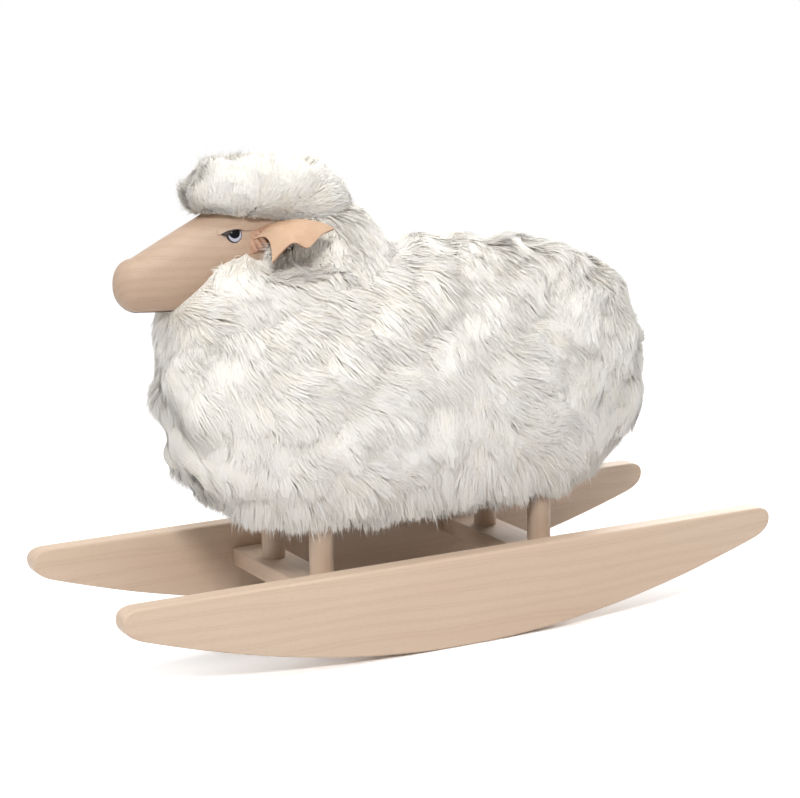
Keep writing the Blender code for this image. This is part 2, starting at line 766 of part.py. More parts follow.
PIN_BORES = make_pins()
make_rockers()
TENON_BORES = make_legs_and_boards()
CORE_ROOMS = make_core()
POST_BORE = CORE_ROOMS[0]
HEAD, HEAD_ROOM = make_head()
make_ears(HEAD)
make_fleece()
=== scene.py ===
"""The finished look of a rocking sheep: beech, leather, glass eyes, fleece and a plain studio.

Metres, +Z up. The head looks along -Y and the sheep's left side is +X.
"""

from __future__ import annotations

import json
import logging
import math
from dataclasses import dataclass
from enum import Enum
from typing import Iterable, Sequence

import bmesh
import bpy
import numpy as np
from mathutils import Matrix, Vector
from mathutils.kdtree import KDTree

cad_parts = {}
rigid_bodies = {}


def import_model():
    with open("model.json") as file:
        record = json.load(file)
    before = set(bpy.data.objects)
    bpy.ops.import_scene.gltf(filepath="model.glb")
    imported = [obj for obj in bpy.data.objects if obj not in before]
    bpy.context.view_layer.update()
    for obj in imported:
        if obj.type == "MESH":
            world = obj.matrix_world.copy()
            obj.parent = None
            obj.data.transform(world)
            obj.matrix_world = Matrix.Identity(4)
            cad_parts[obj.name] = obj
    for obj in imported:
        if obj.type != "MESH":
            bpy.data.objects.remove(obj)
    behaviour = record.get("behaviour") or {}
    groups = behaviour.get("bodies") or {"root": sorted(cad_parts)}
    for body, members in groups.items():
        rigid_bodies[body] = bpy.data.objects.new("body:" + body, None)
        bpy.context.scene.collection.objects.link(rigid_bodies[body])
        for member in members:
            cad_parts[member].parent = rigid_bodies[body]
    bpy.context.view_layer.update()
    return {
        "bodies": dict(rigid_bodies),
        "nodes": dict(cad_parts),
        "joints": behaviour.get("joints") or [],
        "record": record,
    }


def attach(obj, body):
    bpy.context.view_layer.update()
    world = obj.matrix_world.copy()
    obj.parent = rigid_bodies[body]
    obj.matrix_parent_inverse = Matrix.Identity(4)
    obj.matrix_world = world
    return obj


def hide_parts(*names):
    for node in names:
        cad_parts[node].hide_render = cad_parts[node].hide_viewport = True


LOG = logging.getLogger("rocking_sheep")

Point = tuple[float, float, float]

# The fleece's lumps: their spacing, the foot above which they stand and how fast they fade in above it
LUMP_SPACING = 0.062
LUMP_FOOT = 0.140
LUMP_FADE = 0.070
LUMP_WAYS = ((0.30, 0.95, 0.10), (0.60, -0.42, 0.68), (-0.55, -0.45, 0.70))


class Side(Enum):
    """The sheep's left and right, with the sign of X there."""

    LEFT = 1
    RIGHT = -1

    @property
    def word(self) -> str:
        """The name as it stands in a piece's name."""
        return self.name.lower()


class Grain(Enum):
    """The axis that the wood's fibres follow, as the turn that brings X onto it."""

    ALONG_X = (0.0, 0.0, 0.0)
    ALONG_Y = (0.0, 0.0, math.pi / 2)
    ALONG_Z = (0.0, math.pi / 2, 0.0)


# Small helpers for meshes


def active_only(thing: bpy.types.Object) -> None:
    """Selects one object, and nothing else.

    Args:
        thing: the object.
    """
    bpy.ops.object.select_all(action="DESELECT")
    thing.select_set(True)
    bpy.context.view_layer.objects.active = thing


def settle(thing: bpy.types.Object) -> bpy.types.Object:
    """Applies the object's place to its mesh, so that the object sits at the origin.

    Args:
        thing: the object.

    Returns:
        The same object.
    """
    active_only(thing)
    bpy.ops.object.transform_apply(location=True, rotation=True, scale=True)
    return thing


def apply_all(thing: bpy.types.Object) -> bpy.types.Object:
    """Applies every modifier in order.

    Args:
        thing: the object.

    Returns:
        The same object.
    """
    active_only(thing)
    for step in list(thing.modifiers):
        bpy.ops.object.modifier_apply(modifier=step.name)
    return thing


def bevelled(thing: bpy.types.Object, width: float, segments: int = 4) -> bpy.types.Object:
    """Rounds the sharp edges and shades the piece smoothly.

    Args:
        thing: the piece.
        width: the radius of the rounding, in metres.
        segments: the faces across the rounding.

    Returns:
        The same piece.
    """
    step = thing.modifiers.new("rounding", "BEVEL")
    step.width = width
    step.segments = segments
    step.limit_method = "ANGLE"
    step.angle_limit = math.radians(40.0)
    step.harden_normals = False
    apply_all(thing)
    smooth_below(thing, 35.0)
    return thing


def smooth_below(thing: bpy.types.Object, degrees: float) -> None:
    """Shades a piece smoothly where its faces meet at less than an angle.

    Args:
        thing: the piece.
        degrees: the angle.
    """
    active_only(thing)
    bpy.ops.object.shade_smooth_by_angle(angle=math.radians(degrees))


def sheet_faces(rows: int, columns: int) -> list[tuple[int, int, int, int]]:
    """The four-cornered faces of an open grid of points.

    Args:
        rows: the grid's rows.
        columns: the points in a row.

    Returns:
        The indices of each face's points.
    """
    return [
        (i * columns + j, i * columns + j + 1, (i + 1) * columns + j + 1, (i + 1) * columns + j)
        for i in range(rows - 1)
        for j in range(columns - 1)
    ]


def bar_faces(rings: int, columns: int) -> list[Sequence[int]]:
    """The faces of a closed bar, whose rows of points go once round it.

    Args:
        rings: the rows of points.
        columns: the points in a row, from one end of the bar to the other.

    Returns:
        The indices of each face's points, the two ends last.
    """
    faces: list[Sequence[int]] = []
    for i in range(rings):
        k = (i + 1) % rings
        for j in range(columns - 1):
            faces.append((i * columns + j, i * columns + j + 1, k * columns + j + 1, k * columns + j))
    faces.append([i * columns for i in range(rings)])
    faces.append([i * columns + columns - 1 for i in reversed(range(rings))])
    return faces


def mesh_object(name: str, points: np.ndarray, faces: Sequence[Sequence[int]]) -> bpy.types.Object:
    """A new smooth piece from points and faces.

    Args:
        name: the piece's name.
        points: an array of points, one row each.
        faces: the indices of each face's points.

    Returns:
        The new object, linked to the scene.
    """
    mesh = bpy.data.meshes.new(name)
    mesh.from_pydata([tuple(p) for p in points], [], [tuple(f) for f in faces])
    mesh.validate()
    shape = bmesh.new()
    shape.from_mesh(mesh)
    bmesh.ops.recalc_face_normals(shape, faces=shape.faces[:])
    if shape.calc_volume(signed=True) < 0:
        bmesh.ops.reverse_faces(shape, faces=shape.faces[:])
    shape.to_mesh(mesh)
    shape.free()
    mesh.shade_smooth()
    thing = bpy.data.objects.new(name, mesh)
    bpy.context.scene.collection.objects.link(thing)
    return thing


def dress(thing: bpy.types.Object, finish: bpy.types.Material, body: str = "body") -> None:
    """Gives a piece its material and the body that it rides on.

    Args:
        thing: the piece.
        finish: its material.
        body: the moving body that it rides on.
    """
    thing.data.materials.clear()
    thing.data.materials.append(finish)
    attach(thing, body)
    LOG.info("piece %s: %d faces", thing.name, len(thing.data.polygons))


def signed_power(value: np.ndarray, exponent: float) -> np.ndarray:
    """A power that keeps the sign."""
    return np.sign(value) * np.abs(value) ** exponent


def unit(vectors: np.ndarray) -> np.ndarray:
    """Vectors scaled to length one."""
    return vectors / np.maximum(np.linalg.norm(vectors, axis=-1, keepdims=True), 1e-12)


def smooth(low: float, high: float, value: np.ndarray) -> np.ndarray:
    """A soft step from 0 at low to 1 at high."""
    t = np.clip((value - low) / (high - low), 0.0, 1.0)
    return t * t * (3.0 - 2.0 * t)


def bell(value: np.ndarray, middle: float, width: float) -> np.ndarray:
    """A soft bump: one at the middle, about a third at the width from it, and zero far off."""
    return np.exp(-(((value - middle) / width) ** 2))


def averaged(values: np.ndarray, each_side: int) -> np.ndarray:
    """A running mean over some neighbours on each side."""
    count = 2 * each_side + 1
    return np.convolve(np.pad(values, each_side, "edge"), np.ones(count) / count, "valid")


class Ripple:
    """A smooth random field, a sum of plane waves of about one wavelength."""

    def __init__(self, seed: int, wavelength: float, waves: int = 10) -> None:
        """Draws the waves.

        Args:
            seed: of the random numbers.
            wavelength: the middle wavelength, in metres.
            waves: how many waves are summed.
        """
        draw = np.random.default_rng(seed)
        lengths = wavelength * draw.uniform(0.7, 1.5, (waves, 1))
        self.waves = unit(draw.normal(size=(waves, 3))) * 2 * math.pi / lengths
        self.phases = draw.uniform(0, 2 * math.pi, waves)

    def __call__(self, points: np.ndarray) -> np.ndarray:
        """The field at each point, about one in size."""
        return np.sin(points @ self.waves.T + self.phases).sum(1) * math.sqrt(2 / len(self.phases))


def billow(points: np.ndarray) -> np.ndarray:
    """Lumps of the fleece at each point, from -0.5 in a hollow to 0.5 on a crest.

    Args:
        points: where to look, in metres.

    Returns:
        One value for each point.
    """
    wave = LUMP_SPACING * math.sqrt(3) / 2
    ways = unit(np.array(LUMP_WAYS))
    rise = np.cos(2 * math.pi * (points @ ways.T) / wave).sum(-1)
    fade = np.clip((points[..., 2] - LUMP_FOOT) / LUMP_FADE, 0.0, 1.0)
    return fade * np.tanh(0.8 * rise) / 2


# Materials


class Graph:
    """A material's node tree, and short ways to add to it."""

    def __init__(self, name: str) -> None:
        """Starts a material with a Principled shader.

        Args:
            name: the material's name.
        """
        self.material = bpy.data.materials.new(name)
        self.material.use_nodes = True
        self.tree = self.material.node_tree
        self.shader = self.tree.nodes["Principled BSDF"]

    def node(self, kind: str, inputs: dict | None = None, **settings: object) -> bpy.types.Node:
        """Adds a node.

        Args:
            kind: the node's type, without ShaderNode in front.
            inputs: values or sockets for its inputs, by name or number.
            settings: values for its own properties.

        Returns:
            The node.
        """
        made = self.tree.nodes.new("ShaderNode" + kind)
        for key, value in settings.items():
            setattr(made, key, value)
        for key, value in (inputs or {}).items():
            socket = made.inputs[key]
            if isinstance(value, bpy.types.NodeSocket):
                self.tree.links.new(value, socket)
            else:
                socket.default_value = value
        return made

    def ramp(self, fac: bpy.types.NodeSocket, stops: Iterable[tuple]) -> bpy.types.NodeSocket:
        """A colour ramp.

        Args:
            fac: what it reads.
            stops: its stops, each a place and a colour or a grey value.

        Returns:
            The ramp's colour.
        """
        made = self.node("ValToRGB", {"Fac": fac})
        elements = made.color_ramp.elements
        stops = list(stops)
        while len(elements) < len(stops):
            elements.new(0.5)
        for element, (place, colour) in zip(elements, stops):
            element.position = place
            grey = (colour,) * 3 if isinstance(colour, float) else colour
            element.color = (*grey, 1.0)
        return made.outputs["Color"]

    def mix(
        self,
        fac: bpy.types.NodeSocket | float,
        first: bpy.types.NodeSocket | Point,
        second: bpy.types.NodeSocket | Point,
    ) -> bpy.types.NodeSocket:
        """Mixes two colours.

        Args:
            fac: how much of the second colour shows.
            first: the first colour.
            second: the second colour.

        Returns:
            The mixed colour.
        """
        made = self.node("Mix", data_type="RGBA", blend_type="MIX")
        for socket, value in ((made.inputs[0], fac), (made.inputs[6], first), (made.inputs[7], second)):
            if isinstance(value, bpy.types.NodeSocket):
                self.tree.links.new(value, socket)
            elif isinstance(value, float):
                socket.default_value = value
            else:
                socket.default_value = (*value, 1.0)
        return made.outputs[2]

    def object_space(self, turn: Point = (0, 0, 0), scale: Point = (1, 1, 1)) -> bpy.types.NodeSocket:
        """Object coordinates, turned and scaled.

        Args:
            turn: a turn about each axis, in radians.
            scale: the scale along each axis.

        Returns:
            The coordinates.
        """
        start = self.node("TexCoord")
        made = self.node("Mapping", {"Vector": start.outputs["Object"], "Rotation": turn, "Scale": scale})
        return made.outputs["Vector"]

    def bump(self, height: bpy.types.NodeSocket, depth: float, strength: float = 1.0) -> None:
        """Bump from a height, depth in metres, on the shader's normal."""
        made = self.node("Bump", {"Height": height, "Distance": depth, "Strength": strength})
        self.tree.links.new(made.outputs["Normal"], self.shader.inputs["Normal"])

    def finish(
        self,
        colour: bpy.types.NodeSocket | Point,
        roughness: bpy.types.NodeSocket | float,
        **values: float,
    ) -> bpy.types.Material:
        """Connects the colour and roughness, and sets the shader's other sockets.

        Args:
            colour: the base colour.
            roughness: how matt the surface is.
            values: the other sockets by name, with _ for each space.

        Returns:
            The material.
        """
        for name, value in (("Base Color", colour), ("Roughness", roughness)):
            if isinstance(value, bpy.types.NodeSocket):
                self.tree.links.new(value, self.shader.inputs[name])
            elif isinstance(value, float):
                self.shader.inputs[name].default_value = value
            else:
                self.shader.inputs[name].default_value = (*value, 1.0)
        for name, value in values.items():
            self.shader.inputs[name.replace("_", " ")].default_value = value
        return self.material


@dataclass(frozen=True)
class Beech:
    """Waxed pale beech: growth rings, fine fibres and short brown flecks along the grain."""

    name: str
    grain: Grain
    heart: Point = (0.0, 0.09, 0.06)
    pale: Point = (0.68, 0.53, 0.405)
    dark: Point = (0.57, 0.405, 0.29)
    ring_gap: float = 0.009
    contrast: float = 0.55

    def material(self) -> bpy.types.Material:
        """Builds the material.

        Returns:
            The finished material.
        """
        g = Graph(self.name)
        turned = g.object_space(turn=tuple(-a for a in self.grain.value))
        placed = g.node("Mapping", {"Vector": turned, "Location": self.heart, "Scale": (0.12, 1, 1)})
        drift = g.node("TexNoise", {"Vector": placed.outputs[0], "Scale": 16.0, "Detail": 2.0})
        moved = g.node("VectorMath", {0: drift.outputs["Color"], 1: (0.5, 0.5, 0.5)}, operation="SUBTRACT")
        scaled = g.node("VectorMath", {0: moved.outputs[0], "Scale": 0.035}, operation="SCALE")
        bent = g.node("VectorMath", {0: placed.outputs[0], 1: scaled.outputs[0]}, operation="ADD")
        rings = g.node(
            "TexWave",
            {
                "Vector": bent.outputs[0],
                "Scale": 2 * math.pi / (20 * self.ring_gap),
                "Distortion": 1.4,
                "Detail": 3.0,
                "Detail Scale": 0.6,
            },
            wave_type="RINGS",
            rings_direction="X",
        )
        late = g.ramp(rings.outputs["Fac"], [(0.0, 0.0), (0.62, 0.12), (0.93, 0.75), (1.0, 0.25)])
        long = g.node("Mapping", {"Vector": turned, "Scale": (14, 420, 420)})
        fibres = g.node("TexNoise", {"Vector": long.outputs[0], "Scale": 1.0, "Detail": 4.0})
        fibre = g.ramp(fibres.outputs["Fac"], [(0.3, 0.0), (0.7, 1.0)])
        short = g.node("Mapping", {"Vector": turned, "Scale": (210, 1500, 1500)})
        spots = g.node("TexNoise", {"Vector": short.outputs[0], "Scale": 1.0, "Detail": 1.0})
        fleck = g.ramp(spots.outputs["Fac"], [(0.62, 0.0), (0.7, 1.0)])
        broad = g.node("Mapping", {"Vector": turned, "Scale": (3.0, 16, 16)})
        cloud = g.node("TexNoise", {"Vector": broad.outputs[0], "Scale": 1.0, "Detail": 2.0})
        rosy = tuple(v * f for v, f in zip(self.pale, (0.97, 0.93, 0.91)))
        rose = g.ramp(cloud.outputs["Fac"], [(0.35, self.pale), (0.7, rosy)])
        amount = g.node("Math", {0: late, 1: self.contrast}, operation="MULTIPLY")
        colour = g.mix(amount.outputs[0], rose, self.dark)
        thin = g.node("Math", {0: fibre, 1: 0.16}, operation="MULTIPLY")
        colour = g.mix(thin.outputs[0], colour, self.dark)
        few = g.node("Math", {0: fleck, 1: 0.22}, operation="MULTIPLY")
        colour = g.mix(few.outputs[0], colour, tuple(v * 0.72 for v in self.dark))
        rough = g.node("MapRange", {"Value": fibres.outputs["Fac"], "To Min": 0.42, "To Max": 0.58})
        g.bump(fibres.outputs["Fac"], 0.00012, 0.5)
        return g.finish(colour, rough.outputs["Result"], Specular_IOR_Level=0.4)


@dataclass(frozen=True)
class Plywood:
    """Birch plywood: thin plies that show as bands on the edges."""

    name: str = "plywood"
    ply: float = 0.0015

    def material(self) -> bpy.types.Material:
        """Builds the material.

        Returns:
            The finished material.
        """
        g = Graph(self.name)
        place = g.object_space()
        plies = g.node(
            "TexWave",
            {"Vector": place, "Scale": 2 * math.pi / (20 * 2 * self.ply), "Distortion": 0.3},
            wave_type="BANDS",
            bands_direction="Z",
        )
        grain = g.node("Mapping", {"Vector": place, "Scale": (160, 9, 160)})
        fibres = g.node("TexNoise", {"Vector": grain.outputs[0], "Scale": 1.0, "Detail": 4.0})
        face = g.ramp(fibres.outputs["Fac"], [(0.3, (0.70, 0.56, 0.40)), (0.75, (0.60, 0.45, 0.30))])
        colour = g.mix(g.ramp(plies.outputs["Fac"], [(0.45, 0.0), (0.6, 0.35)]), face, (0.42, 0.29, 0.18))
        g.bump(fibres.outputs["Fac"], 0.0002, 0.4)
        return g.finish(colour, 0.6)


@dataclass(frozen=True)
class Leather:
    """Undyed vegetable-tanned leather with a fine grain."""

    name: str
    colour: Point = (0.65, 0.44, 0.30)
    deep: Point = (0.56, 0.35, 0.22)

    def material(self) -> bpy.types.Material:
        """Builds the material.

        Returns:
            The finished material.
        """
        g = Graph(self.name)
        place = g.object_space()
        cells = g.node("TexVoronoi", {"Vector": place, "Scale": 1100.0}, feature="F1")
        patches = g.node("TexNoise", {"Vector": place, "Scale": 55.0, "Detail": 4.0})
        fine = g.node("TexNoise", {"Vector": place, "Scale": 420.0, "Detail": 3.0})
        colour = g.ramp(patches.outputs["Fac"], [(0.34, self.colour), (0.72, self.deep)])
        worn = g.ramp(fine.outputs["Fac"], [(0.45, 0.0), (0.75, 0.35)])
        colour = g.mix(worn, colour, tuple(min(1.0, v * 1.12) for v in self.colour))
        height = g.node("Math", {0: cells.outputs["Distance"], 1: fine.outputs["Fac"]}, operation="ADD")
        g.bump(height.outputs[0], 0.00025, 0.35)
        return g.finish(colour, 0.58, Specular_IOR_Level=0.35)


@dataclass(frozen=True)
class Wool:
    """Creamy wool. The wool's map holds a fibre's tone across, and upwards how far it is from the root.
    Fibres turn to the root colour near the root: partly the wool's own yellower base, partly painted shade
    deep in the fleece.
    """

    name: str = "wool"
    white: Point = (0.970, 0.952, 0.912)
    cream: Point = (0.965, 0.92, 0.82)
    # root: the colour near each fibre's root, partly the wool's own yellower base and partly painted shade
    # deep in the fleece
    root: Point = (0.955, 0.90, 0.80)

    def material(self) -> bpy.types.Material:
        """Builds the material.

        Returns:
            The finished material.
        """
        g = Graph(self.name)
        place = g.node("UVMap", uv_map="wool_uv")
        parts = g.node("SeparateXYZ", {0: place.outputs["UV"]})
        tones = [(0.0, self.cream), (0.35, self.white), (0.8, self.white), (1.0, self.cream)]
        tone = g.ramp(parts.outputs["X"], tones)
        fine = g.node("Mapping", {"Vector": place.outputs["UV"], "Scale": (170, 2.2, 1)})
        streak = g.node("TexNoise", {"Vector": fine.outputs[0], "Scale": 1.0, "Detail": 3.0})
        tone = g.mix(g.ramp(streak.outputs["Fac"], [(0.45, 0.0), (0.72, 0.45)]), tone, self.cream)
        # partly painted shade: each fibre turns to the root colour towards its root
        depth = g.ramp(parts.outputs["Y"], [(0.0, 1.0), (0.3, 0.6), (0.6, 0.1), (1.0, 0.0)])
        colour = g.mix(depth, tone, self.root)
        g.bump(streak.outputs["Fac"], 0.0001, 0.15)
        return g.finish(
            colour,
            0.85,
            Specular_IOR_Level=0.12,
            Sheen_Weight=0.3,
            Sheen_Roughness=0.6,
        )


@dataclass(frozen=True)
class Underwool:
    """The matted undercoat below the locks, with crimped fibres."""

    name: str = "underwool"
    colour: Point = (0.955, 0.915, 0.84)
    deep: Point = (0.93, 0.875, 0.78)

    def material(self) -> bpy.types.Material:
        """Builds the material.

        Returns:
            The finished material.
        """
        g = Graph(self.name)
        place = g.object_space()
        tufts = g.node("TexNoise", {"Vector": place, "Scale": 90.0, "Detail": 5.0, "Distortion": 1.2})
        fine = g.node("TexNoise", {"Vector": place, "Scale": 600.0, "Detail": 3.0})
        colour = g.ramp(tufts.outputs["Fac"], [(0.35, self.deep), (0.65, self.colour)])
        height = g.node("Math", {0: tufts.outputs["Fac"], 1: fine.outputs["Fac"]}, operation="ADD")
        g.bump(height.outputs[0], 0.004, 0.8)
        return g.finish(colour, 0.9, Specular_IOR_Level=0.1)


@dataclass(frozen=True)
class EyeGlass:
    """A domed eye: black pupil, pale iris, dark rim, under clear gloss."""

    name: str
    middle: Point
    pupil: float = 0.0058
    pupil_offset: Point = (0.0, -0.0008, 0.0028)
    iris: float = 0.0068
    reach: float = 0.0085

    def material(self) -> bpy.types.Material:
        """Builds the material.

        Returns:
            The finished material.
        """
        g = Graph(self.name)
        start = g.node("TexCoord")
        away = g.node("VectorMath", {0: start.outputs["Object"], 1: self.middle}, operation="SUBTRACT")
        flat = g.node("VectorMath", {0: away.outputs[0], 1: (0.0, 1.0, 1.0)}, operation="MULTIPLY")
        outer = g.node("VectorMath", {0: flat.outputs[0]}, operation="LENGTH")
        raised = g.node("VectorMath", {0: flat.outputs[0], 1: self.pupil_offset}, operation="SUBTRACT")
        inner = g.node("VectorMath", {0: raised.outputs[0]}, operation="LENGTH")
        ring = g.node("MapRange", {"Value": outer.outputs["Value"], "From Min": 0.0, "From Max": self.reach})
        spread = g.node("Mapping", {"Vector": flat.outputs[0], "Scale": (1, 700, 700)})
        rays = g.node("TexNoise", {"Vector": spread.outputs[0], "Scale": 1.0, "Detail": 3.0})
        pale = g.ramp(rays.outputs["Fac"], [(0.3, (0.42, 0.40, 0.50)), (0.7, (0.68, 0.66, 0.75))])
        share = self.iris / self.reach
        limbus = g.ramp(ring.outputs["Result"], [(share - 0.08, 0.0), (share + 0.03, 1.0)])
        colour = g.mix(limbus, pale, (0.030, 0.032, 0.045))
        black = g.node("MapRange", {"Value": inner.outputs["Value"], "From Min": 0.0, "From Max": self.reach})
        share = self.pupil / self.reach
        core = g.ramp(black.outputs["Result"], [(share - 0.03, 1.0), (share + 0.05, 0.0)])
        colour = g.mix(core, colour, (0.004, 0.004, 0.006))
        return g.finish(colour, 0.25, Coat_Weight=0.1, Coat_Roughness=0.05, Specular_IOR_Level=0.05)


@dataclass(frozen=True)
class ZincSteel:
    """Zinc-plated steel with fine turning marks."""

    name: str = "screw_steel"

    def material(self) -> bpy.types.Material:
        """Builds the material.

        Returns:
            The finished material.
        """
        g = Graph(self.name)
        place = g.object_space(scale=(400, 400, 3000))
        marks = g.node("TexNoise", {"Vector": place, "Scale": 1.0, "Detail": 3.0})
        colour = g.ramp(marks.outputs["Fac"], [(0.3, (0.62, 0.62, 0.60)), (0.7, (0.48, 0.49, 0.50))])
        rough = g.node("MapRange", {"Value": marks.outputs["Fac"], "To Min": 0.25, "To Max": 0.45})
        return g.finish(colour, rough.outputs["Result"], Metallic=1.0)


# The base: rockers, cross boards and legs


@dataclass
class Base:
    """The rockers, cross boards and dowel legs."""

    length: float = 0.760
    height: float = 0.0955
    thickness: float = 0.0225
    spacing: float = 0.226
    sole_radius: float = 0.988
    sole_ease: float = 0.209
    sole_land: float = 0.050
    tip_reach: float = 0.019
    tip_drop: float = 0.0127
    tip_heel: float = 0.022
    rounding: float = 0.0028
    board_top: float = 0.0677
    board_width: float = 0.046
    board_thickness: float = 0.019
    leg_diameter: float = 0.025
    leg_track: float = 0.1144
    leg_base: float = 0.2614
    leg_seat: float = 0.012
    leg_top: float = 0.152
    gap: float = 0.0003

    def sole_height(self, y: float) -> float:
        """Height of the sole's curve above the floor."""
        return y**2 / (2 * self.sole_radius) - self.sole_ease * y**4

    def outline(self, sole_steps: int = 56, tip_steps: int = 16) -> list[tuple[float, float]]:
        """The rocker's side view: straight top edge, rounded tips and a curved sole.

        Args:
            sole_steps: steps along one half of the sole.
            tip_steps: steps along each bend of a tip.

        Returns:
            Places as (y, z), once round.
        """
        half = self.length / 2
        heel = half - self.tip_heel
        heel_height = self.sole_height(heel)
        heel_slope = heel / self.sole_radius - 4 * self.sole_ease * heel**3
        tip = (half, self.height - self.tip_drop)

        def bend(start: tuple, corner: tuple, end: tuple, steps: int) -> Iterable[tuple]:
            """Points of a parabola from start to end, without the last one.

            Args:
                start: the first point.
                corner: where the end tangents meet.
                end: the last point.
                steps: how many points.

            Yields:
                The points, one by one.
            """
            for t in (index / steps for index in range(steps)):
                weights = ((1 - t) ** 2, 2 * t * (1 - t), t**2)
                yield tuple(sum(w * v for w, v in zip(weights, trio)) for trio in zip(start, corner, end))

        side = list(bend((half - self.tip_reach, self.height), (half, self.height), tip, tip_steps))
        corner = (half, heel_height + heel_slope * self.tip_heel)
        side += bend(tip, corner, (heel, heel_height), tip_steps)
        land = self.sole_land / 2
        drop = self.sole_height(land)
        for index in range(sole_steps + 1):
            y = heel + (land - heel) * index / sole_steps
            side.append((y, self.sole_height(y) - drop * (1 - (y - land) / (heel - land))))
        return side + [(-y, z) for y, z in reversed(side)]

    def rocker(self) -> bpy.types.Object:
        """The left rocker: one face of its outline, extruded across and rounded.

        Returns:
            The rocker.
        """
        inner = self.spacing / 2
        points = [(inner, y, z) for y, z in self.outline()]
        thing = mesh_object("rocker_plank_left", np.array(points), [list(range(len(points)))])
        active_only(thing)
        bpy.ops.object.mode_set(mode="EDIT")
        bpy.ops.mesh.select_all(action="SELECT")
        bpy.ops.mesh.extrude_region_move(TRANSFORM_OT_translate={"value": (self.thickness, 0, 0)})
        bpy.ops.mesh.select_all(action="SELECT")
        bpy.ops.mesh.normals_make_consistent(inside=False)
        bpy.ops.object.mode_set(mode="OBJECT")
        return bevelled(thing, self.rounding, 5)

    def board(self, along: int) -> bpy.types.Object:
        """One cross board, front at -1 and rear at 1.

        Args:
            along: -1 for the front one and 1 for the rear one.

        Returns:
            The board.
        """
        place = (0, along * self.leg_base / 2, self.board_top - self.board_thickness / 2)
        bpy.ops.mesh.primitive_cube_add(size=1.0, location=place)
        thing = bpy.context.object
        thing.name = "cross_plank_front" if along < 0 else "cross_plank_rear"
        thing.scale = (self.spacing - 2 * self.gap, self.board_width, self.board_thickness)
        settle(thing)
        return bevelled(thing, 0.0016, 4)

    def leg(self, side: Side, along: int) -> bpy.types.Object:
        """One leg, from its seat in the cross board to its tenon in the body.

        Args:
            side: the side that it stands on.
            along: -1 at the front and 1 at the rear.

        Returns:
            The leg.
        """
        low = self.board_top - self.leg_seat + self.gap
        place = (side.value * self.leg_track / 2, along * self.leg_base / 2, (low + self.leg_top) / 2)
        bpy.ops.mesh.primitive_cylinder_add(
            vertices=64, radius=self.leg_diameter / 2, depth=self.leg_top - low, location=place
        )
        thing = bpy.context.object
        end = "front" if along < 0 else "rear"
        thing.name = f"leg_dowel_{end}_{side.word}"
        settle(thing)
        return bevelled(thing, 0.0006, 2)

    def build(self) -> None:
        """Makes the pieces and dresses them."""
        flat_sawn = Beech("beech_rocker", Grain.ALONG_Y, heart=(0.0, 0.055, 0.015)).material()
        board_wood = Beech("beech_board", Grain.ALONG_X, heart=(0.3, 0.05, 0.06)).material()
        dowel_wood = Beech("beech_dowel", Grain.ALONG_Z, heart=(0.1, 0.02, 0.05), contrast=0.45).material()
        left = self.rocker()
        right = left.copy()
        right.data = left.data.copy()
        right.name = "rocker_plank_right"
        bpy.context.scene.collection.objects.link(right)
        right.location.x = -(self.spacing + self.thickness)
        settle(right)
        for thing, side in ((left, Side.LEFT), (right, Side.RIGHT)):
            dress(thing, flat_sawn)
            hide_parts(f"rocker_{side.word}")
        for along, end in ((-1, "front"), (1, "rear")):
            board = self.board(along)
            dress(board, board_wood)
            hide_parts(f"cross_board_{end}")
            for side in Side:
                leg = self.leg(side, along)
                dress(leg, dowel_wood)
                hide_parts(f"leg_{end}_{side.word}")


# The head, its eyes and its ears


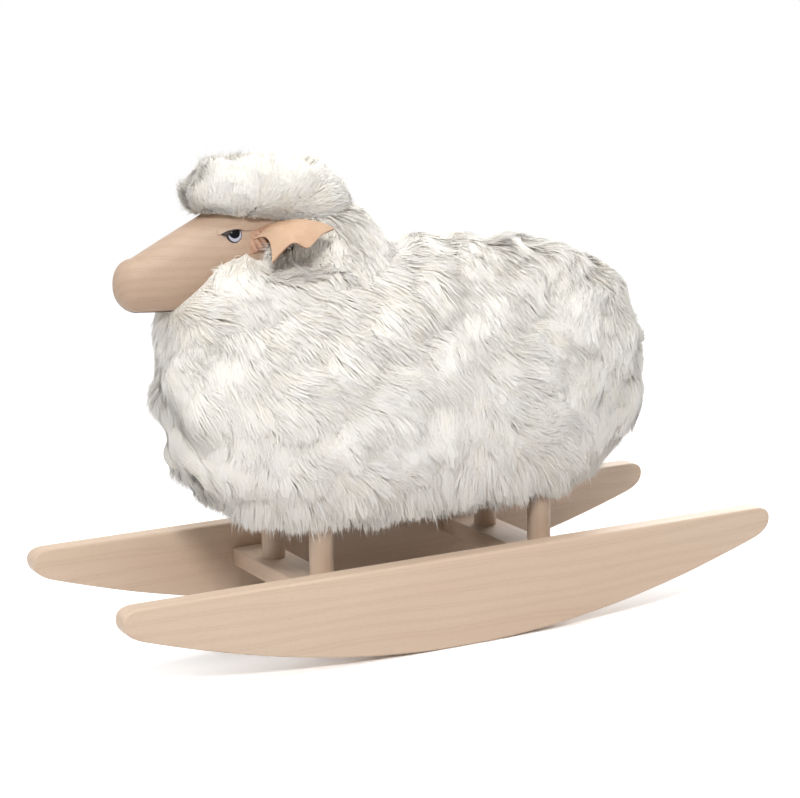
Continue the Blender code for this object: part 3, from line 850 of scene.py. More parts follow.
@dataclass
class Head:
    """The carved head, its glass eyes, the lids over them and a dark line of painted shade below each lid."""

    sections: tuple = (
        (-0.301, 0.4100, 0.3565, 0.0225),
        (-0.266, 0.4275, 0.3545, 0.0265),
        (-0.234, 0.4430, 0.3560, 0.0305),
        (-0.200, 0.4590, 0.3610, 0.0345),
        (-0.165, 0.4620, 0.3740, 0.0360),
        (-0.140, 0.4550, 0.3900, 0.0330),
    )
    snout_rounding: float = 0.0215
    skull_rounding: float = 0.020
    squareness: float = 2.5
    eye_y: float = -0.206
    eye_z: float = 0.430
    eye_radius: float = 0.00825
    eye_dome: float = 0.0042
    eye_sink: float = 0.0016
    lid_front: float = -0.2225
    lid_length: float = 0.0395
    lid_knots: tuple = (0.0, 0.12, 0.24, 0.42, 0.55, 0.68, 1.0)
    lid_rise: tuple = (0.0002, 0.0021, 0.0047, 0.0056, 0.0054, 0.0034, 0.0030)
    # the band of painted shade below each lid: where it starts, how long it is, and its top and depth along
    # it
    rim_front: float = -0.2200
    rim_length: float = 0.0310
    rim_knots: tuple = (0.0, 0.13, 0.22, 0.34, 0.55, 0.78, 1.0)
    rim_top: tuple = (0.0018, 0.0036, 0.0048, 0.0060, 0.0062, 0.0048, 0.0034)
    rim_depth: tuple = (0.0004, 0.0046, 0.0058, 0.0024, 0.0015, 0.0012, 0.0002)

    def section(self, y: np.ndarray) -> np.ndarray:
        """Top, bottom and half width of the head at each y.

        Args:
            y: places along the head.

        Returns:
            An array with one column for each y.
        """
        table = np.array(self.sections)
        knots = table[:, 0]
        y = np.clip(y, knots[0], knots[-1])
        index = np.clip(np.searchsorted(knots, y) - 1, 0, len(knots) - 2)
        slopes = np.empty((len(knots), 3))
        for i in range(len(knots)):
            low, high = max(i - 1, 0), min(i + 1, len(knots) - 1)
            slopes[i] = (table[high, 1:] - table[low, 1:]) / (knots[high] - knots[low])
        step = knots[index + 1] - knots[index]
        rest = ((y - knots[index]) / step)[..., None]
        step = step[..., None]
        value = (
            table[index, 1:] * (2 * rest**3 - 3 * rest**2 + 1)
            + slopes[index] * step * (rest**3 - 2 * rest**2 + rest)
            + table[index + 1, 1:] * (3 * rest**2 - 2 * rest**3)
            + slopes[index + 1] * step * (rest**3 - rest**2)
        )
        return np.moveaxis(value, -1, 0)

    def side(self, y: np.ndarray, z: np.ndarray) -> np.ndarray:
        """Half width of the head at a height inside its section.

        Args:
            y: places along the head.
            z: their heights.

        Returns:
            One half width for each place.
        """
        top, bottom, width = self.section(y)
        height = np.clip(np.abs(z - (top + bottom) / 2) / ((top - bottom) / 2), 0, 1)
        return width * np.maximum(0.0, 1.0 - height**self.squareness) ** (1.0 / self.squareness)

    def level(self, points: np.ndarray) -> np.ndarray:
        """Below one inside the head and above one outside.

        Args:
            points: where to look.

        Returns:
            One value for each point.
        """
        first, last = self.sections[0][0], self.sections[-1][0]
        top, bottom, width = self.section(points[:, 1])
        across = np.abs(points[:, 0]) / width
        up = np.abs(points[:, 2] - (top + bottom) / 2) / ((top - bottom) / 2)
        ring = (across**self.squareness + up**self.squareness) ** (1 / self.squareness)
        before = np.maximum(first - points[:, 1], 0) / self.snout_rounding
        behind = np.maximum(points[:, 1] - last, 0) / self.skull_rounding
        return np.sqrt(ring**2 + before**2 + behind**2)

    def carve(self, points: np.ndarray) -> np.ndarray:
        """How far the carving stands proud of the plain form, in metres, on either side.

        Args:
            points: places on the plain form.

        Returns:
            One height for each point.
        """
        y, z = points[:, 1], points[:, 2]
        away = np.hypot(y - self.eye_y, z - self.eye_z)
        on_side = smooth(0.010, 0.016, np.abs(points[:, 0]))
        seat = -0.0030 * (1 - smooth(0.0066, 0.0080, away))
        brow = 0.0016 * bell(z, self.eye_z + 0.0085 + 0.12 * (y - self.eye_y), 0.0042)
        brow *= smooth(-0.232, -0.217, y) * (1 - smooth(-0.196, -0.182, y))
        cheek = 0.0011 * bell(y, -0.213, 0.018) * bell(z, 0.409, 0.010)
        hollow = -0.0010 * bell(y, -0.222, 0.010) * bell(z, 0.428, 0.009)
        _, _, width = self.section(y)
        jaw = -0.17 * width * smooth(-0.05, -0.85, self.height_share(y, z))
        jaw *= smooth(-0.330, -0.300, y) * (1 - smooth(-0.20, -0.15, y))
        return on_side * (seat + brow + cheek + hollow) + jaw

    def height_share(self, y: np.ndarray, z: np.ndarray) -> np.ndarray:
        """Where a height lies in its section, from -1 at the bottom to 1 at the top."""
        top, bottom, _ = self.section(y)
        return (z - (top + bottom) / 2) / ((top - bottom) / 2)

    def form(self, rings: int = 150, sides: int = 176) -> tuple[np.ndarray, list]:
        """Points and faces of the head, its rings closer together near the eyes.

        Args:
            rings: how many rings of points.
            sides: the points in a ring.

        Returns:
            The points and the faces.
        """
        first, last = self.sections[0][0], self.sections[-1][0]
        start = first - self.snout_rounding
        end = last + self.skull_rounding
        spots = np.linspace(0, 1, 4000)
        y_all = start + (end - start) * (1 - np.cos(np.pi * spots)) / 2
        weight = 1.0 + 5.0 * bell(y_all, self.eye_y, 0.016)
        share = np.cumsum(weight)
        wanted = np.linspace(0, 1, rings + 1)[1:-1] * share[-1]
        ys = np.interp(wanted, share, y_all)
        angles = np.linspace(0, 2 * math.pi, sides, endpoint=False)
        top, bottom, width = self.section(ys)
        before = np.clip((first - ys) / self.snout_rounding, 0, 1)
        behind = np.clip((ys - last) / self.skull_rounding, 0, 1)
        size = np.sqrt(np.maximum(1 - before**2 - behind**2, 0))
        power = 2.0 / self.squareness
        x = (width * size)[:, None] * signed_power(np.cos(angles), power)[None]
        middle, half = (top + bottom) / 2, (top - bottom) / 2
        z = middle[:, None] + (half * size)[:, None] * signed_power(np.sin(angles), power)[None]
        y = np.repeat(ys[:, None], sides, 1)
        points = np.stack([x, y, z], -1).reshape(-1, 3)
        points[:, 0] += np.sign(points[:, 0]) * self.carve(points)
        ends = np.array([
            [0, place, (table[1] + table[2]) / 2]
            for place, table in ((start, self.sections[0]), (end, self.sections[-1]))
        ])
        faces = []
        count = len(ys)
        for i in range(count - 1):
            for j in range(sides):
                k = (j + 1) % sides
                faces.append((i * sides + j, i * sides + k, (i + 1) * sides + k, (i + 1) * sides + j))
        low, high = count * sides, count * sides + 1
        for j in range(sides):
            k = (j + 1) % sides
            faces.append((low, k, j))
            faces.append((high, (count - 1) * sides + j, (count - 1) * sides + k))
        return np.vstack([points, ends]), faces

    def eye_frame(self, side: Side) -> Matrix:
        """The place of an eye: its origin at the rim's front edge, Z outwards.

        Args:
            side: the eye's side.

        Returns:
            The matrix that places the eye.
        """
        step = 0.001
        y, z = self.eye_y, self.eye_z

        def width(a: float, b: float) -> float:
            """Half width at one place."""
            return float(self.side(np.array([a]), np.array([b]))[0])

        lean_y = (width(y + step, z) - width(y - step, z)) / (2 * step)
        lean_z = (width(y, z + step) - width(y, z - step)) / (2 * step)
        out = Vector((side.value, -lean_y, -lean_z)).normalized()
        place = Vector((side.value * width(y, z), y, z)) - out * self.eye_sink
        turn = Vector((0.0, 0.0, 1.0)).rotation_difference(out)
        return Matrix.Translation(place) @ turn.to_matrix().to_4x4()

    def eye(self, side: Side) -> bpy.types.Object:
        """A domed glass eye with a rim and a stem, spun from its profile.

        Args:
            side: the eye's side.

        Returns:
            The eye.
        """
        radius = self.eye_radius
        profile = [(0.0, self.eye_dome)]
        for index in range(1, 13):
            angle = math.pi / 2 * index / 12
            profile.append((radius * math.sin(angle), self.eye_dome * math.cos(angle)))
        profile += [(radius, -0.003), (0.003, -0.003), (0.003, -0.012), (0.0, -0.012)]
        steps = 56
        points = [(0, 0, profile[0][1])]
        faces = []
        inner = profile[1:-1]
        for radius_here, height in inner:
            for index in range(steps):
                a = 2 * math.pi * index / steps
                points.append((radius_here * math.cos(a), radius_here * math.sin(a), height))
        points.append((0, 0, profile[-1][1]))
        for j in range(steps):
            k = (j + 1) % steps
            faces.append((0, 1 + j, 1 + k))
            for i in range(len(inner) - 1):
                a, b = 1 + i * steps, 1 + (i + 1) * steps
                faces.append((a + j, b + j, b + k, a + k))
            last = 1 + (len(inner) - 1) * steps
            faces.append((last + j, len(points) - 1, last + k))
        frame = self.eye_frame(side)
        placed = np.array([tuple(frame @ Vector(p)) for p in points])
        thing = mesh_object(f"glass_eye_{side.word}", placed, faces)
        smooth_below(thing, 35.0)
        return thing

    def lid(self, side: Side) -> bpy.types.Object:
        """The carved upper lid: a band over the eye with a straight lower edge and a pointed front.

        Args:
            side: the eye's side.

        Returns:
            The lid.
        """
        columns, rows = 64, 14
        u = np.linspace(0, 1, columns)
        y = self.lid_front + u * self.lid_length
        lower = self.eye_z + averaged(np.interp(u, self.lid_knots, self.lid_rise), 4)
        upper = self.eye_z + 0.0108 + 0.004 * u
        width = np.interp(u, [0, 0.06, 0.85, 1], [0.15, 1.0, 1.0, 0.3])
        points = []
        for row in range(rows):
            v = row / (rows - 1)
            z = lower + (upper - lower) * v
            lip = 0.0030 * (1 - v) ** 1.2 * width * bell(u, 0.42, 0.42)
            proud = lip + 0.0009 * np.sin(math.pi * min(1, v * 1.05 + 0.02))
            x = self.side(y, z) + proud
            if row == rows - 1:
                x = self.side(y, z) - 0.0008
            points.append(np.stack([side.value * x, y, z], -1))
        inner = points[0].copy()
        inner[:, 0] = side.value * (self.side(y, lower) - 0.0016)
        inner[:, 2] += 0.0012
        back = points[-1].copy()
        back[:, 0] = side.value * (self.side(y, upper) - 0.0026)
        rings = [inner, *points, back]
        thing = mesh_object(f"carved_lid_{side.word}", np.vstack(rings), bar_faces(len(rings), columns))
        smooth_below(thing, 50.0)
        return thing

    def rim(self, side: Side) -> bpy.types.Object:
        """The dark line below the upper lid, drawn out to a point in front of the eye: painted shade for the
        lid's shadow on the eye and the shaded recess at the eye's front corner.

        Args:
            side: the eye's side.

        Returns:
            The dark line.
        """
        columns = 72
        u = np.linspace(0, 1, columns)
        y = self.rim_front + u * self.rim_length
        top = self.eye_z + averaged(np.interp(u, self.rim_knots, self.rim_top), 3)
        depth = averaged(np.interp(u, self.rim_knots, self.rim_depth), 3)
        proud = 0.0034 * np.interp(u, [0.0, 0.10, 0.9, 1.0], [0.12, 0.85, 0.8, 0.2]) * bell(u, 0.45, 0.45)
        rows = []
        for share, out in ((0.0, -0.0015), (0.0, 0.7), (0.3, 1.0), (0.7, 1.0), (1.0, 0.75), (1.0, -0.0015)):
            z = top - depth * share
            rise = proud * out + 0.0003 if out > 0 else np.full(columns, out)
            rows.append(np.stack([side.value * (self.side(y, z) + rise), y, z], -1))
        thing = mesh_object(f"eye_rim_{side.word}", np.vstack(rows), bar_faces(len(rows), columns))
        smooth_below(thing, 50.0)
        return thing

    def build(self, wood: bpy.types.Material) -> None:
        """Makes the head and eyes and dresses them.

        Args:
            wood: the head's material.
        """
        # painted shade: a near-black band below each lid, for the lid's shadow on the eye and the eye's
        # shaded front corner
        dark = Leather("eye_rim", (0.035, 0.022, 0.018), (0.02, 0.012, 0.01)).material()
        points, faces = self.form()
        head = mesh_object("carved_head", points, faces)
        dress(head, wood)
        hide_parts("head")
        for side in Side:
            eye = self.eye(side)
            middle = tuple(self.eye_frame(side).translation)
            dress(eye, EyeGlass(f"eye_glass_{side.word}", middle).material())
            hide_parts(f"eye_{side.word}")
            dress(self.lid(side), wood)
            dress(self.rim(side), dark)


@dataclass
class Ears:
    """The leather ears: cupped sheets on rolled roots, with gathered leather at the roots."""

    thickness: float = 0.0022
    fold_thickness: float = 0.0016
    fold_gap: float = 0.0060
    fold_middle: tuple = (-0.1785, 0.4235)
    root: tuple = ((0.0385, -0.1880, 0.4235), (0.0385, -0.1720, 0.4355))
    middle: tuple = ((0.0520, -0.1720, 0.4370), (0.0700, -0.1600, 0.4500), (0.0530, -0.1400, 0.4500))
    edge: tuple = (
        (0.0710, -0.1835, 0.4045),
        (0.0810, -0.1665, 0.4235),
        (0.0850, -0.1515, 0.4185),
        (0.0800, -0.1340, 0.4290),
        (0.0700, -0.1145, 0.4325),
    )

    def through(self, points: tuple, position: float) -> Vector:
        """A smooth value through evenly spaced points, position from 0 to 1.

        Args:
            points: the points.
            position: where, from 0 at the first to 1 at the last.

        Returns:
            The value there.
        """
        last = len(points) - 1
        index = min(int(position * last), last - 1)
        rest = position * last - index
        before = Vector(points[max(index - 1, 0)])
        start, end = Vector(points[index]), Vector(points[index + 1])
        after = Vector(points[min(index + 2, last)])
        leave, arrive = (end - before) / 2, (after - start) / 2
        return (
            start * (2 * rest**3 - 3 * rest**2 + 1)
            + leave * (rest**3 - 2 * rest**2 + rest)
            + end * (3 * rest**2 - 2 * rest**3)
            + arrive * (rest**3 - rest**2)
        )

    def point(self, outward: float, along: float) -> Vector:
        """A point of the left ear's sheet: outward from root to edge, along from front to rear.

        Args:
            outward: from 0 at the root to 1 at the edge.
            along: from 0 at the front to 1 at the rear.

        Returns:
            The point.
        """
        root = Vector(self.root[0]).lerp(Vector(self.root[1]), along)
        middle = self.through(self.middle, along)
        edge = self.through(self.edge, along)
        return root * (1 - outward) ** 2 + middle * 2 * outward * (1 - outward) + edge * outward**2

    def sheet(self, rows: int = 40, columns: int = 72) -> np.ndarray:
        """The left ear's sheet as a grid of points.

        Args:
            rows: points from the root to the edge.
            columns: points from front to rear.

        Returns:
            An array of rows, columns and three coordinates.
        """
        grid = np.empty((rows, columns, 3))
        for i in range(rows):
            for j in range(columns):
                out, along = i / (rows - 1), j / (columns - 1)
                p = self.point(out, along)
                fading = max(0.0, 1 - out / 0.45) * min(1, out / 0.08)
                p.z += 0.0011 * math.sin(along * math.pi * 5) * fading
                grid[i, j] = p
        return grid

    def blade(
        self, side: Side, leather: bpy.types.Material, cut_edge: bpy.types.Material
    ) -> bpy.types.Object:
        """One ear, its sheet thickened and its cut edge darker.

        Args:
            side: the ear's side.
            leather: the material of its faces.
            cut_edge: the material of its edge.

        Returns:
            The ear.
        """
        grid = self.sheet()
        rows, columns, _ = grid.shape
        points = grid.reshape(-1, 3).copy()
        points[:, 0] *= side.value
        thing = mesh_object(f"leather_ear_{side.word}", points, sheet_faces(rows, columns))
        thing.data.materials.append(leather)
        thing.data.materials.append(cut_edge)
        wall = thing.modifiers.new("thickness", "SOLIDIFY")
        wall.thickness = self.thickness
        wall.offset = 0.0
        wall.use_even_offset = True
        wall.material_offset_rim = 1
        bevelled(thing, 0.0004, 2)
        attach(thing, f"ear_{side.word}")
        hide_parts(f"ear_{side.word}")
        return thing

    def folds(self, side: Side, head: Head, leather: bpy.types.Material) -> bpy.types.Object:
        """The gathered leather at an ear's root, which lies on the head in slanting folds.

        Args:
            side: the ear's side.
            head: the head that they lie on.
            leather: their material.

        Returns:
            The folds.
        """
        rows, columns = 44, 48
        a, b = np.meshgrid(np.linspace(-1, 1, columns), np.linspace(-1, 1, rows))
        middle_y, middle_z = self.fold_middle
        y, z = middle_y + 0.0120 * a + 0.0010 * b, middle_z + 0.0112 * b + 0.0035 * a
        room = np.sqrt(np.maximum(1 - np.abs(a) ** 3, 0) * np.maximum(1 - np.abs(b) ** 3, 0))
        across = 0.86 * (y - middle_y) + 0.51 * (z - middle_z)
        wave = 0.5 + 0.5 * np.cos(2 * math.pi * across / self.fold_gap + 0.4 * b)
        height = -0.0012 + room * ((0.0082 + 0.0030 * a) * (0.50 + 0.50 * wave**0.7))
        points = np.stack([side.value * (head.side(y, z) + height), y, z], -1).reshape(-1, 3)
        thing = mesh_object(f"ear_folds_{side.word}", points, sheet_faces(rows, columns))
        wall = thing.modifiers.new("thickness", "SOLIDIFY")
        wall.thickness = self.fold_thickness
        wall.offset = 0.0
        apply_all(thing)
        thing.data.shade_smooth()
        dress(thing, leather)
        return thing

    def build(self, head: Head) -> None:
        """Makes both ears and the folds at their roots.

        Args:
            head: the head that the folds lie on.
        """
        leather = Leather("ear_leather").material()
        edge = Leather("ear_cut_edge", (0.36, 0.21, 0.13), (0.25, 0.14, 0.09)).material()
        gathered = Leather("ear_folds", (0.56, 0.34, 0.235), (0.42, 0.24, 0.16)).material()
        for side in Side:
            thing = self.blade(side, leather, edge)
            LOG.info("piece %s: %d faces", thing.name, len(thing.data.polygons))
            self.folds(side, head, gathered)


# The fleece


@dataclass(frozen=True)
class Padding:
    """A padded form of the fleece: a swelling along Y whose width may change."""

    name: str
    node: str
    middle: Point
    half: Point
    along: float
    across: float
    front: float = 1.0
    lean: float = 0.0
    slope: float = 0.0
    lumps: float = 0.0

    def level(self, points: np.ndarray, grow: float = 0.0) -> np.ndarray:
        """Below one inside the form and above one outside.

        Args:
            points: where to look.
            grow: how much larger the form is than the part's solid.

        Returns:
            One value for each point.
        """
        hx, hy, hz = (v + grow for v in self.half)
        offset = points - np.array(self.middle)
        offset = offset - unit(offset) * (self.lumps * billow(points))[:, None]
        z = offset[:, 2] + self.slope * offset[:, 1]
        reach = np.clip(-(offset[:, 1] - self.lean * z) / hy, -3, 3)
        width = hx * (self.front + (1 - self.front) * (1 - np.clip(reach, -1, 1)) / 2)
        ring = (np.abs(offset[:, 0]) / width) ** self.across + (np.abs(z) / hz) ** self.across
        return (ring ** (self.along / self.across) + np.abs(reach) ** self.along) ** (1 / self.along)

    def surface(self, t: np.ndarray, angle: np.ndarray, grow: float) -> np.ndarray:
        """Points of the form with its lumps, t from 0 at the front to 1 at the back.

        Args:
            t: places from front to back.
            angle: places round the form, in radians.
            grow: how much larger the form is than the part's solid.

        Returns:
            One point for each place.
        """
        reach = signed_power(np.cos(math.pi * t), 2 / self.along)
        spread = np.abs(np.sin(math.pi * t)) ** (2 / self.along)
        flat, tall = (signed_power(wave(angle), 2 / self.across) for wave in (np.cos, np.sin))

        def plain(extra: float) -> np.ndarray:
            """Offsets from the middle of the form grown by extra, without its lumps.

            Args:
                extra: how much the form grows, in metres.

            Returns:
                One offset for each place.
            """
            hx, hy, hz = (v + extra for v in self.half)
            height = hz * spread * tall
            back = self.lean * height - hy * reach
            width = hx * (self.front + (1 - self.front) * (1 - reach) / 2)
            return np.stack([width * spread * flat, back, height - self.slope * back], -1)

        inner = plain(0.0)
        rise = self.lumps * billow(np.array(self.middle) + inner)
        return np.array(self.middle) + plain(grow) + unit(inner) * rise[..., None]


@dataclass
class Coat:
    """How the wool lies at a number of places, one row for each fibre."""

    root: np.ndarray
    normal: np.ndarray
    first: np.ndarray
    second: np.ndarray
    length: np.ndarray

    def along(self, s: np.ndarray) -> np.ndarray:
        """Places along each fibre, s from 0 at the root to 1 at the tip, one column for each place.

        Args:
            s: the places, one row for each fibre.

        Returns:
            The points there.
        """
        s = s[..., None]
        bend = self.first[:, None] * (s - s * s / 2) + self.second[:, None] * (s * s / 2)
        return self.root[:, None] + self.length[:, None, None] * bend

    def only(self, pick: np.ndarray) -> "Coat":
        """Some of the fibres."""
        rows = (self.root, self.normal, self.first, self.second, self.length)
        return Coat(*(row[pick] for row in rows))


@dataclass
class Fleece:
    """The wool: padded forms in an undercoat, and fine fibres that gather in soft locks.

    The wool stays clear of the head, of the legs and of a hollow for each ear.
    """

    head: Head
    body: Padding = Padding(
        "underwool_body",
        "body_fleece",
        (0, 0.002, 0.262),
        (0.122, 0.269, 0.142),
        3.0,
        2.5,
        front=0.94,
        lumps=0.010,
    )
    neck: Padding = Padding(
        "underwool_neck",
        "neck_fleece",
        (0, -0.140, 0.345),
        (0.085, 0.126, 0.105),
        2.3,
        2.2,
        lean=math.tan(math.radians(16.7)),
        lumps=0.005,
    )
    cap: Padding = Padding(
        "underwool_cap",
        "forehead_fleece",
        (0, -0.157, 0.4655),
        (0.056, 0.088, 0.039),
        2.2,
        2.1,
        slope=math.tan(math.radians(4.0)),
        lumps=0.0025,
    )
    ear_hollow: Point = (0.073, -0.157, 0.421)
    ear_hollow_half: Point = (0.048, 0.068, 0.038)
    fibre_room: float = -0.009
    belly: float = 0.140
    sink: float = -0.0085
    leg_room: float = 0.0140
    lowest: float = 0.100
    highest: float = 0.527
    widest: float = 0.148
    fan_y: float = -0.182
    fan_z: float = 0.410
    clump_gap: float = 0.0062
    lock_gap: float = 0.021
    fibre_half: float = 0.00050
    shares: tuple = (0.0, 0.34, 0.68, 1.0)

    def __post_init__(self) -> None:
        """Makes the random fields, the source of random numbers and the ear's hollow as arrays."""
        self.forms = (self.body, self.neck, self.cap)
        self.pocket_middle = np.array(self.ear_hollow)
        self.pocket_half = np.array(self.ear_hollow_half)
        self.tuft = Ripple(5, 0.045)
        self.swirl = Ripple(7, 0.13)
        self.curl = Ripple(11, 0.036)
        self.draw = np.random.default_rng(20)

    def in_pocket(self, points: np.ndarray, grow: float = 0.0) -> np.ndarray:
        """Below one inside the hollow that holds an ear.

        Args:
            points: where to look.
            grow: how much larger the hollow is taken.

        Returns:
            One value for each point.
        """
        mirrored = points.copy()
        mirrored[:, 0] = np.abs(mirrored[:, 0])
        return np.linalg.norm((mirrored - self.pocket_middle) / (self.pocket_half + grow), axis=1)

    def skin(self, form: Padding, points: np.ndarray) -> np.ndarray:
        """The undercoat's surface: small tufts, a full chest, the ears' hollows and a flat belly.

        Args:
            form: the padded form.
            points: places on its surface.

        Returns:
            The places on the skin.
        """
        middle = np.array(form.middle)
        out = unit(points - middle)
        rise = 0.0012 * self.tuft(points) + 0.006 * self.chest(points) * (form is not self.cap)
        if form is self.cap:
            crown = self.crown(points)
            rise -= 0.006 * crown * (1 - smooth(-0.235, -0.205, points[:, 1]))
            rise -= 0.009 * crown * smooth(-0.120, -0.085, points[:, 1])
            rise += 0.005 * self.brow(points)
        else:
            rise += 0.006 * self.nape(points)
        if form is self.neck:
            rise -= 0.008 * self.notch(points)
        if form is self.body:
            y, z = points[:, 1], points[:, 2]
            rise += 0.009 * (1 - smooth(0.150, 0.185, z))
            front = 1 - smooth(-0.26, -0.20, y)
            breast, apron, waist = (
                bell(z, *place) * front for place in ((0.285, 0.055), (0.195, 0.024), (0.238, 0.018))
            )
            seat = bell(z, 0.215, 0.040) * smooth(0.17, 0.24, y)
            saddle = bell(y, 0.004, 0.030) * smooth(0.36, 0.39, z)
            rise += 0.006 * breast + 0.009 * seat + 0.006 * saddle + 0.009 * apron - 0.005 * waist
        points = points + out * (rise + self.fillet(form, points))[:, None]
        if form is not self.body:
            mirrored = points.copy()
            sign = np.where(mirrored[:, 0] < 0, -1.0, 1.0)
            mirrored[:, 0] *= sign
            offset = (mirrored - self.pocket_middle) / self.pocket_half
            inside = (offset**2).sum(1) < 1
            flat = np.sqrt(np.maximum(1 - offset[:, 1] ** 2 - offset[:, 2] ** 2, 0))
            x = np.maximum(self.pocket_middle[0] - self.pocket_half[0] * flat, 0.015)
            mirrored[inside, 0] = np.minimum(mirrored[inside, 0], x[inside])
            points = mirrored
            points[:, 0] *= sign
        else:
            points[:, 2] = np.maximum(points[:, 2], self.belly + 0.0005)
        return points

    def fillet(self, form: Padding, points: np.ndarray) -> np.ndarray:
        """How much the wool swells, in metres, where the cap meets the neck.

        Args:
            form: the padded form.
            points: places on its surface.

        Returns:
            One height for each place.
        """
        if form is self.body:
            return np.zeros(len(points))
        other = self.neck if form is self.cap else self.cap
        reach = np.linalg.norm(points - np.array(other.middle), axis=1)
        gap = reach * (1 - 1 / np.maximum(other.level(points), 0.2))
        rear = smooth(-0.165, -0.115, points[:, 1])
        return rear * 0.011 * np.maximum(1 - np.abs(gap) / 0.040, 0.0) ** 2

    def chest(self, points: np.ndarray) -> np.ndarray:
        """One on the chest and zero behind it."""
        return 1 - smooth(-0.27, -0.19, points[:, 1])

    def crown(self, points: np.ndarray) -> np.ndarray:
        """One over the top of the topknot and zero below it."""
        return smooth(0.455, 0.480, points[:, 2])

    def fore(self, points: np.ndarray) -> np.ndarray:
        """One over the front of the topknot, where its fibres stand up, and zero behind."""
        return 1 - smooth(-0.125, -0.090, points[:, 1])

    def brow(self, points: np.ndarray) -> np.ndarray:
        """One at the topknot's lower front edge, falling to zero around it."""
        return bell(points[:, 1], -0.238, 0.020) * bell(points[:, 2], 0.447, 0.016)

    def nape(self, points: np.ndarray) -> np.ndarray:
        """One on the nape's swelling between the cap and the back, falling to zero around it."""
        return bell(points[:, 1], -0.062, 0.018) * bell(points[:, 2], 0.452, 0.018)

    def notch(self, points: np.ndarray) -> np.ndarray:
        """One where the neck meets the back, falling to zero around it."""
        return bell(points[:, 1], -0.026, 0.019) * smooth(0.395, 0.422, points[:, 2])

    def shell(self, form: Padding, rings: int = 96, sides: int = 128) -> tuple[np.ndarray, np.ndarray]:
        """Points and four-cornered faces of a form's skin.

        Args:
            form: the padded form.
            rings: how many rings of points.
            sides: the points in a ring.

        Returns:
            The points and the indices of each face.
        """
        t = (np.arange(rings) + 0.5) / rings
        angle = np.arange(sides) / sides * 2 * math.pi
        grid_t, grid_a = np.meshgrid(t, angle, indexing="ij")
        points = self.skin(form, form.surface(grid_t.ravel(), grid_a.ravel(), self.sink))
        i, j = np.meshgrid(np.arange(rings - 1), np.arange(sides), indexing="ij")
        k = (j + 1) % sides
        corners = (i * sides + j, (i + 1) * sides + j, (i + 1) * sides + k, i * sides + k)
        return points, np.stack(corners, -1).reshape(-1, 4)

    def undercoat(self, form: Padding, finish: bpy.types.Material) -> bpy.types.Object:
        """The matted undercoat of one form, closed at both ends.

        Args:
            form: the padded form.
            finish: the material.

        Returns:
            The piece.
        """
        points, faces = self.shell(form)
        sides = 128
        rings = len(points) // sides
        ends = np.vstack([points[:sides].mean(0), points[-sides:].mean(0)])
        listed = [tuple(f) for f in faces]
        last = (rings - 1) * sides
        for j in range(sides):
            k = (j + 1) % sides
            listed.append((len(points), j, k))
            listed.append((len(points) + 1, last + k, last + j))
        thing = mesh_object(form.name, np.vstack([points, ends]), listed)
        dress(thing, finish)
        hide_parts(form.node)
        return thing

    def thin_out(self, spots: np.ndarray, gap: float) -> list[int]:
        """Which of the places stay when none may be nearer to another than the gap.

        Args:
            spots: the places.
            gap: the least distance, in metres.

        Returns:
            The indices of those that stay.
        """
        keep: dict[tuple, list] = {}
        chosen = []
        cells = np.floor(spots / gap).astype(int)
        around = [(a, b, c) for a in (-1, 0, 1) for b in (-1, 0, 1) for c in (-1, 0, 1)]
        for index, spot in enumerate(spots):
            cell = cells[index]
            near = (
                other
                for step in around
                for other in keep.get((cell[0] + step[0], cell[1] + step[1], cell[2] + step[2]), ())
            )
            if all(((spot - spots[other]) ** 2).sum() >= gap * gap for other in near):
                keep.setdefault(tuple(cell), []).append(index)
                chosen.append(index)
        return chosen

    def roots(self, form: Padding, count: int) -> tuple[np.ndarray, np.ndarray]:
        """Places all over a form's skin, with their normals.

        Args:
            form: the padded form.
            count: how many places, some of which other pieces cover.

        Returns:
            The places that nothing covers, and the normals.
        """
        points, faces = self.shell(form, 150, 200)
        a, b, c, d = (points[faces[:, i]] for i in range(4))
        normals = np.cross(c - a, d - b)
        area = np.linalg.norm(normals, axis=1) / 2
        normals = unit(normals)
        normals *= np.sign((normals * (a - np.array(form.middle))).sum(1))[:, None]
        pick = self.draw.choice(len(area), count, p=area / area.sum())
        u, v = self.draw.random((2, count, 1))
        spots = (a[pick] * (1 - u) + b[pick] * u) * (1 - v) + (d[pick] * (1 - u) + c[pick] * u) * v
        keep = ~self.covered(form, spots)
        return spots[keep], normals[pick[keep]]

    def cheek(self, form: Padding, points: np.ndarray) -> np.ndarray:
        """One on the head's cheeks inside the ears' hollows, and zero elsewhere.

        Args:
            form: the padded form of the fibres.
            points: where to look.

        Returns:
            One value for each point.
        """
        if form is not self.neck:
            return np.zeros(len(points))
        return smooth(1.0, 0.85, self.in_pocket(points)) * (self.head.level(points) < 1.15)

    def cheek_roots(self, count: int) -> tuple[np.ndarray, np.ndarray]:
        """Places on both cheeks below the ears, where wool covers the wood, with their normals.

        Args:
            count: how many places are tried.

        Returns:
            The places that are kept, and the normals.
        """
        y = self.draw.uniform(-0.222, -0.115, count)
        z = self.draw.uniform(0.375, 0.440, count)
        knots = [-0.222, -0.2055, -0.195, -0.175, -0.166, -0.150]
        edge = np.interp(y, knots, [0.382, 0.394, 0.4015, 0.407, 0.422, 0.440])
        keep = (z < edge) & (z > self.head.section(y)[1] + 0.004)
        y, z = y[keep], z[keep]
        x = self.head.side(y, z)
        step = 0.001
        lean_y = (self.head.side(y + step, z) - self.head.side(y - step, z)) / (2 * step)
        lean_z = (self.head.side(y, z + step) - self.head.side(y, z - step)) / (2 * step)
        sign = np.where(self.draw.random(len(y)) < 0.5, -1.0, 1.0)
        places = np.stack([sign * x * 1.002, y, z], -1)
        return places, unit(np.stack([sign, -lean_y, -lean_z], -1))

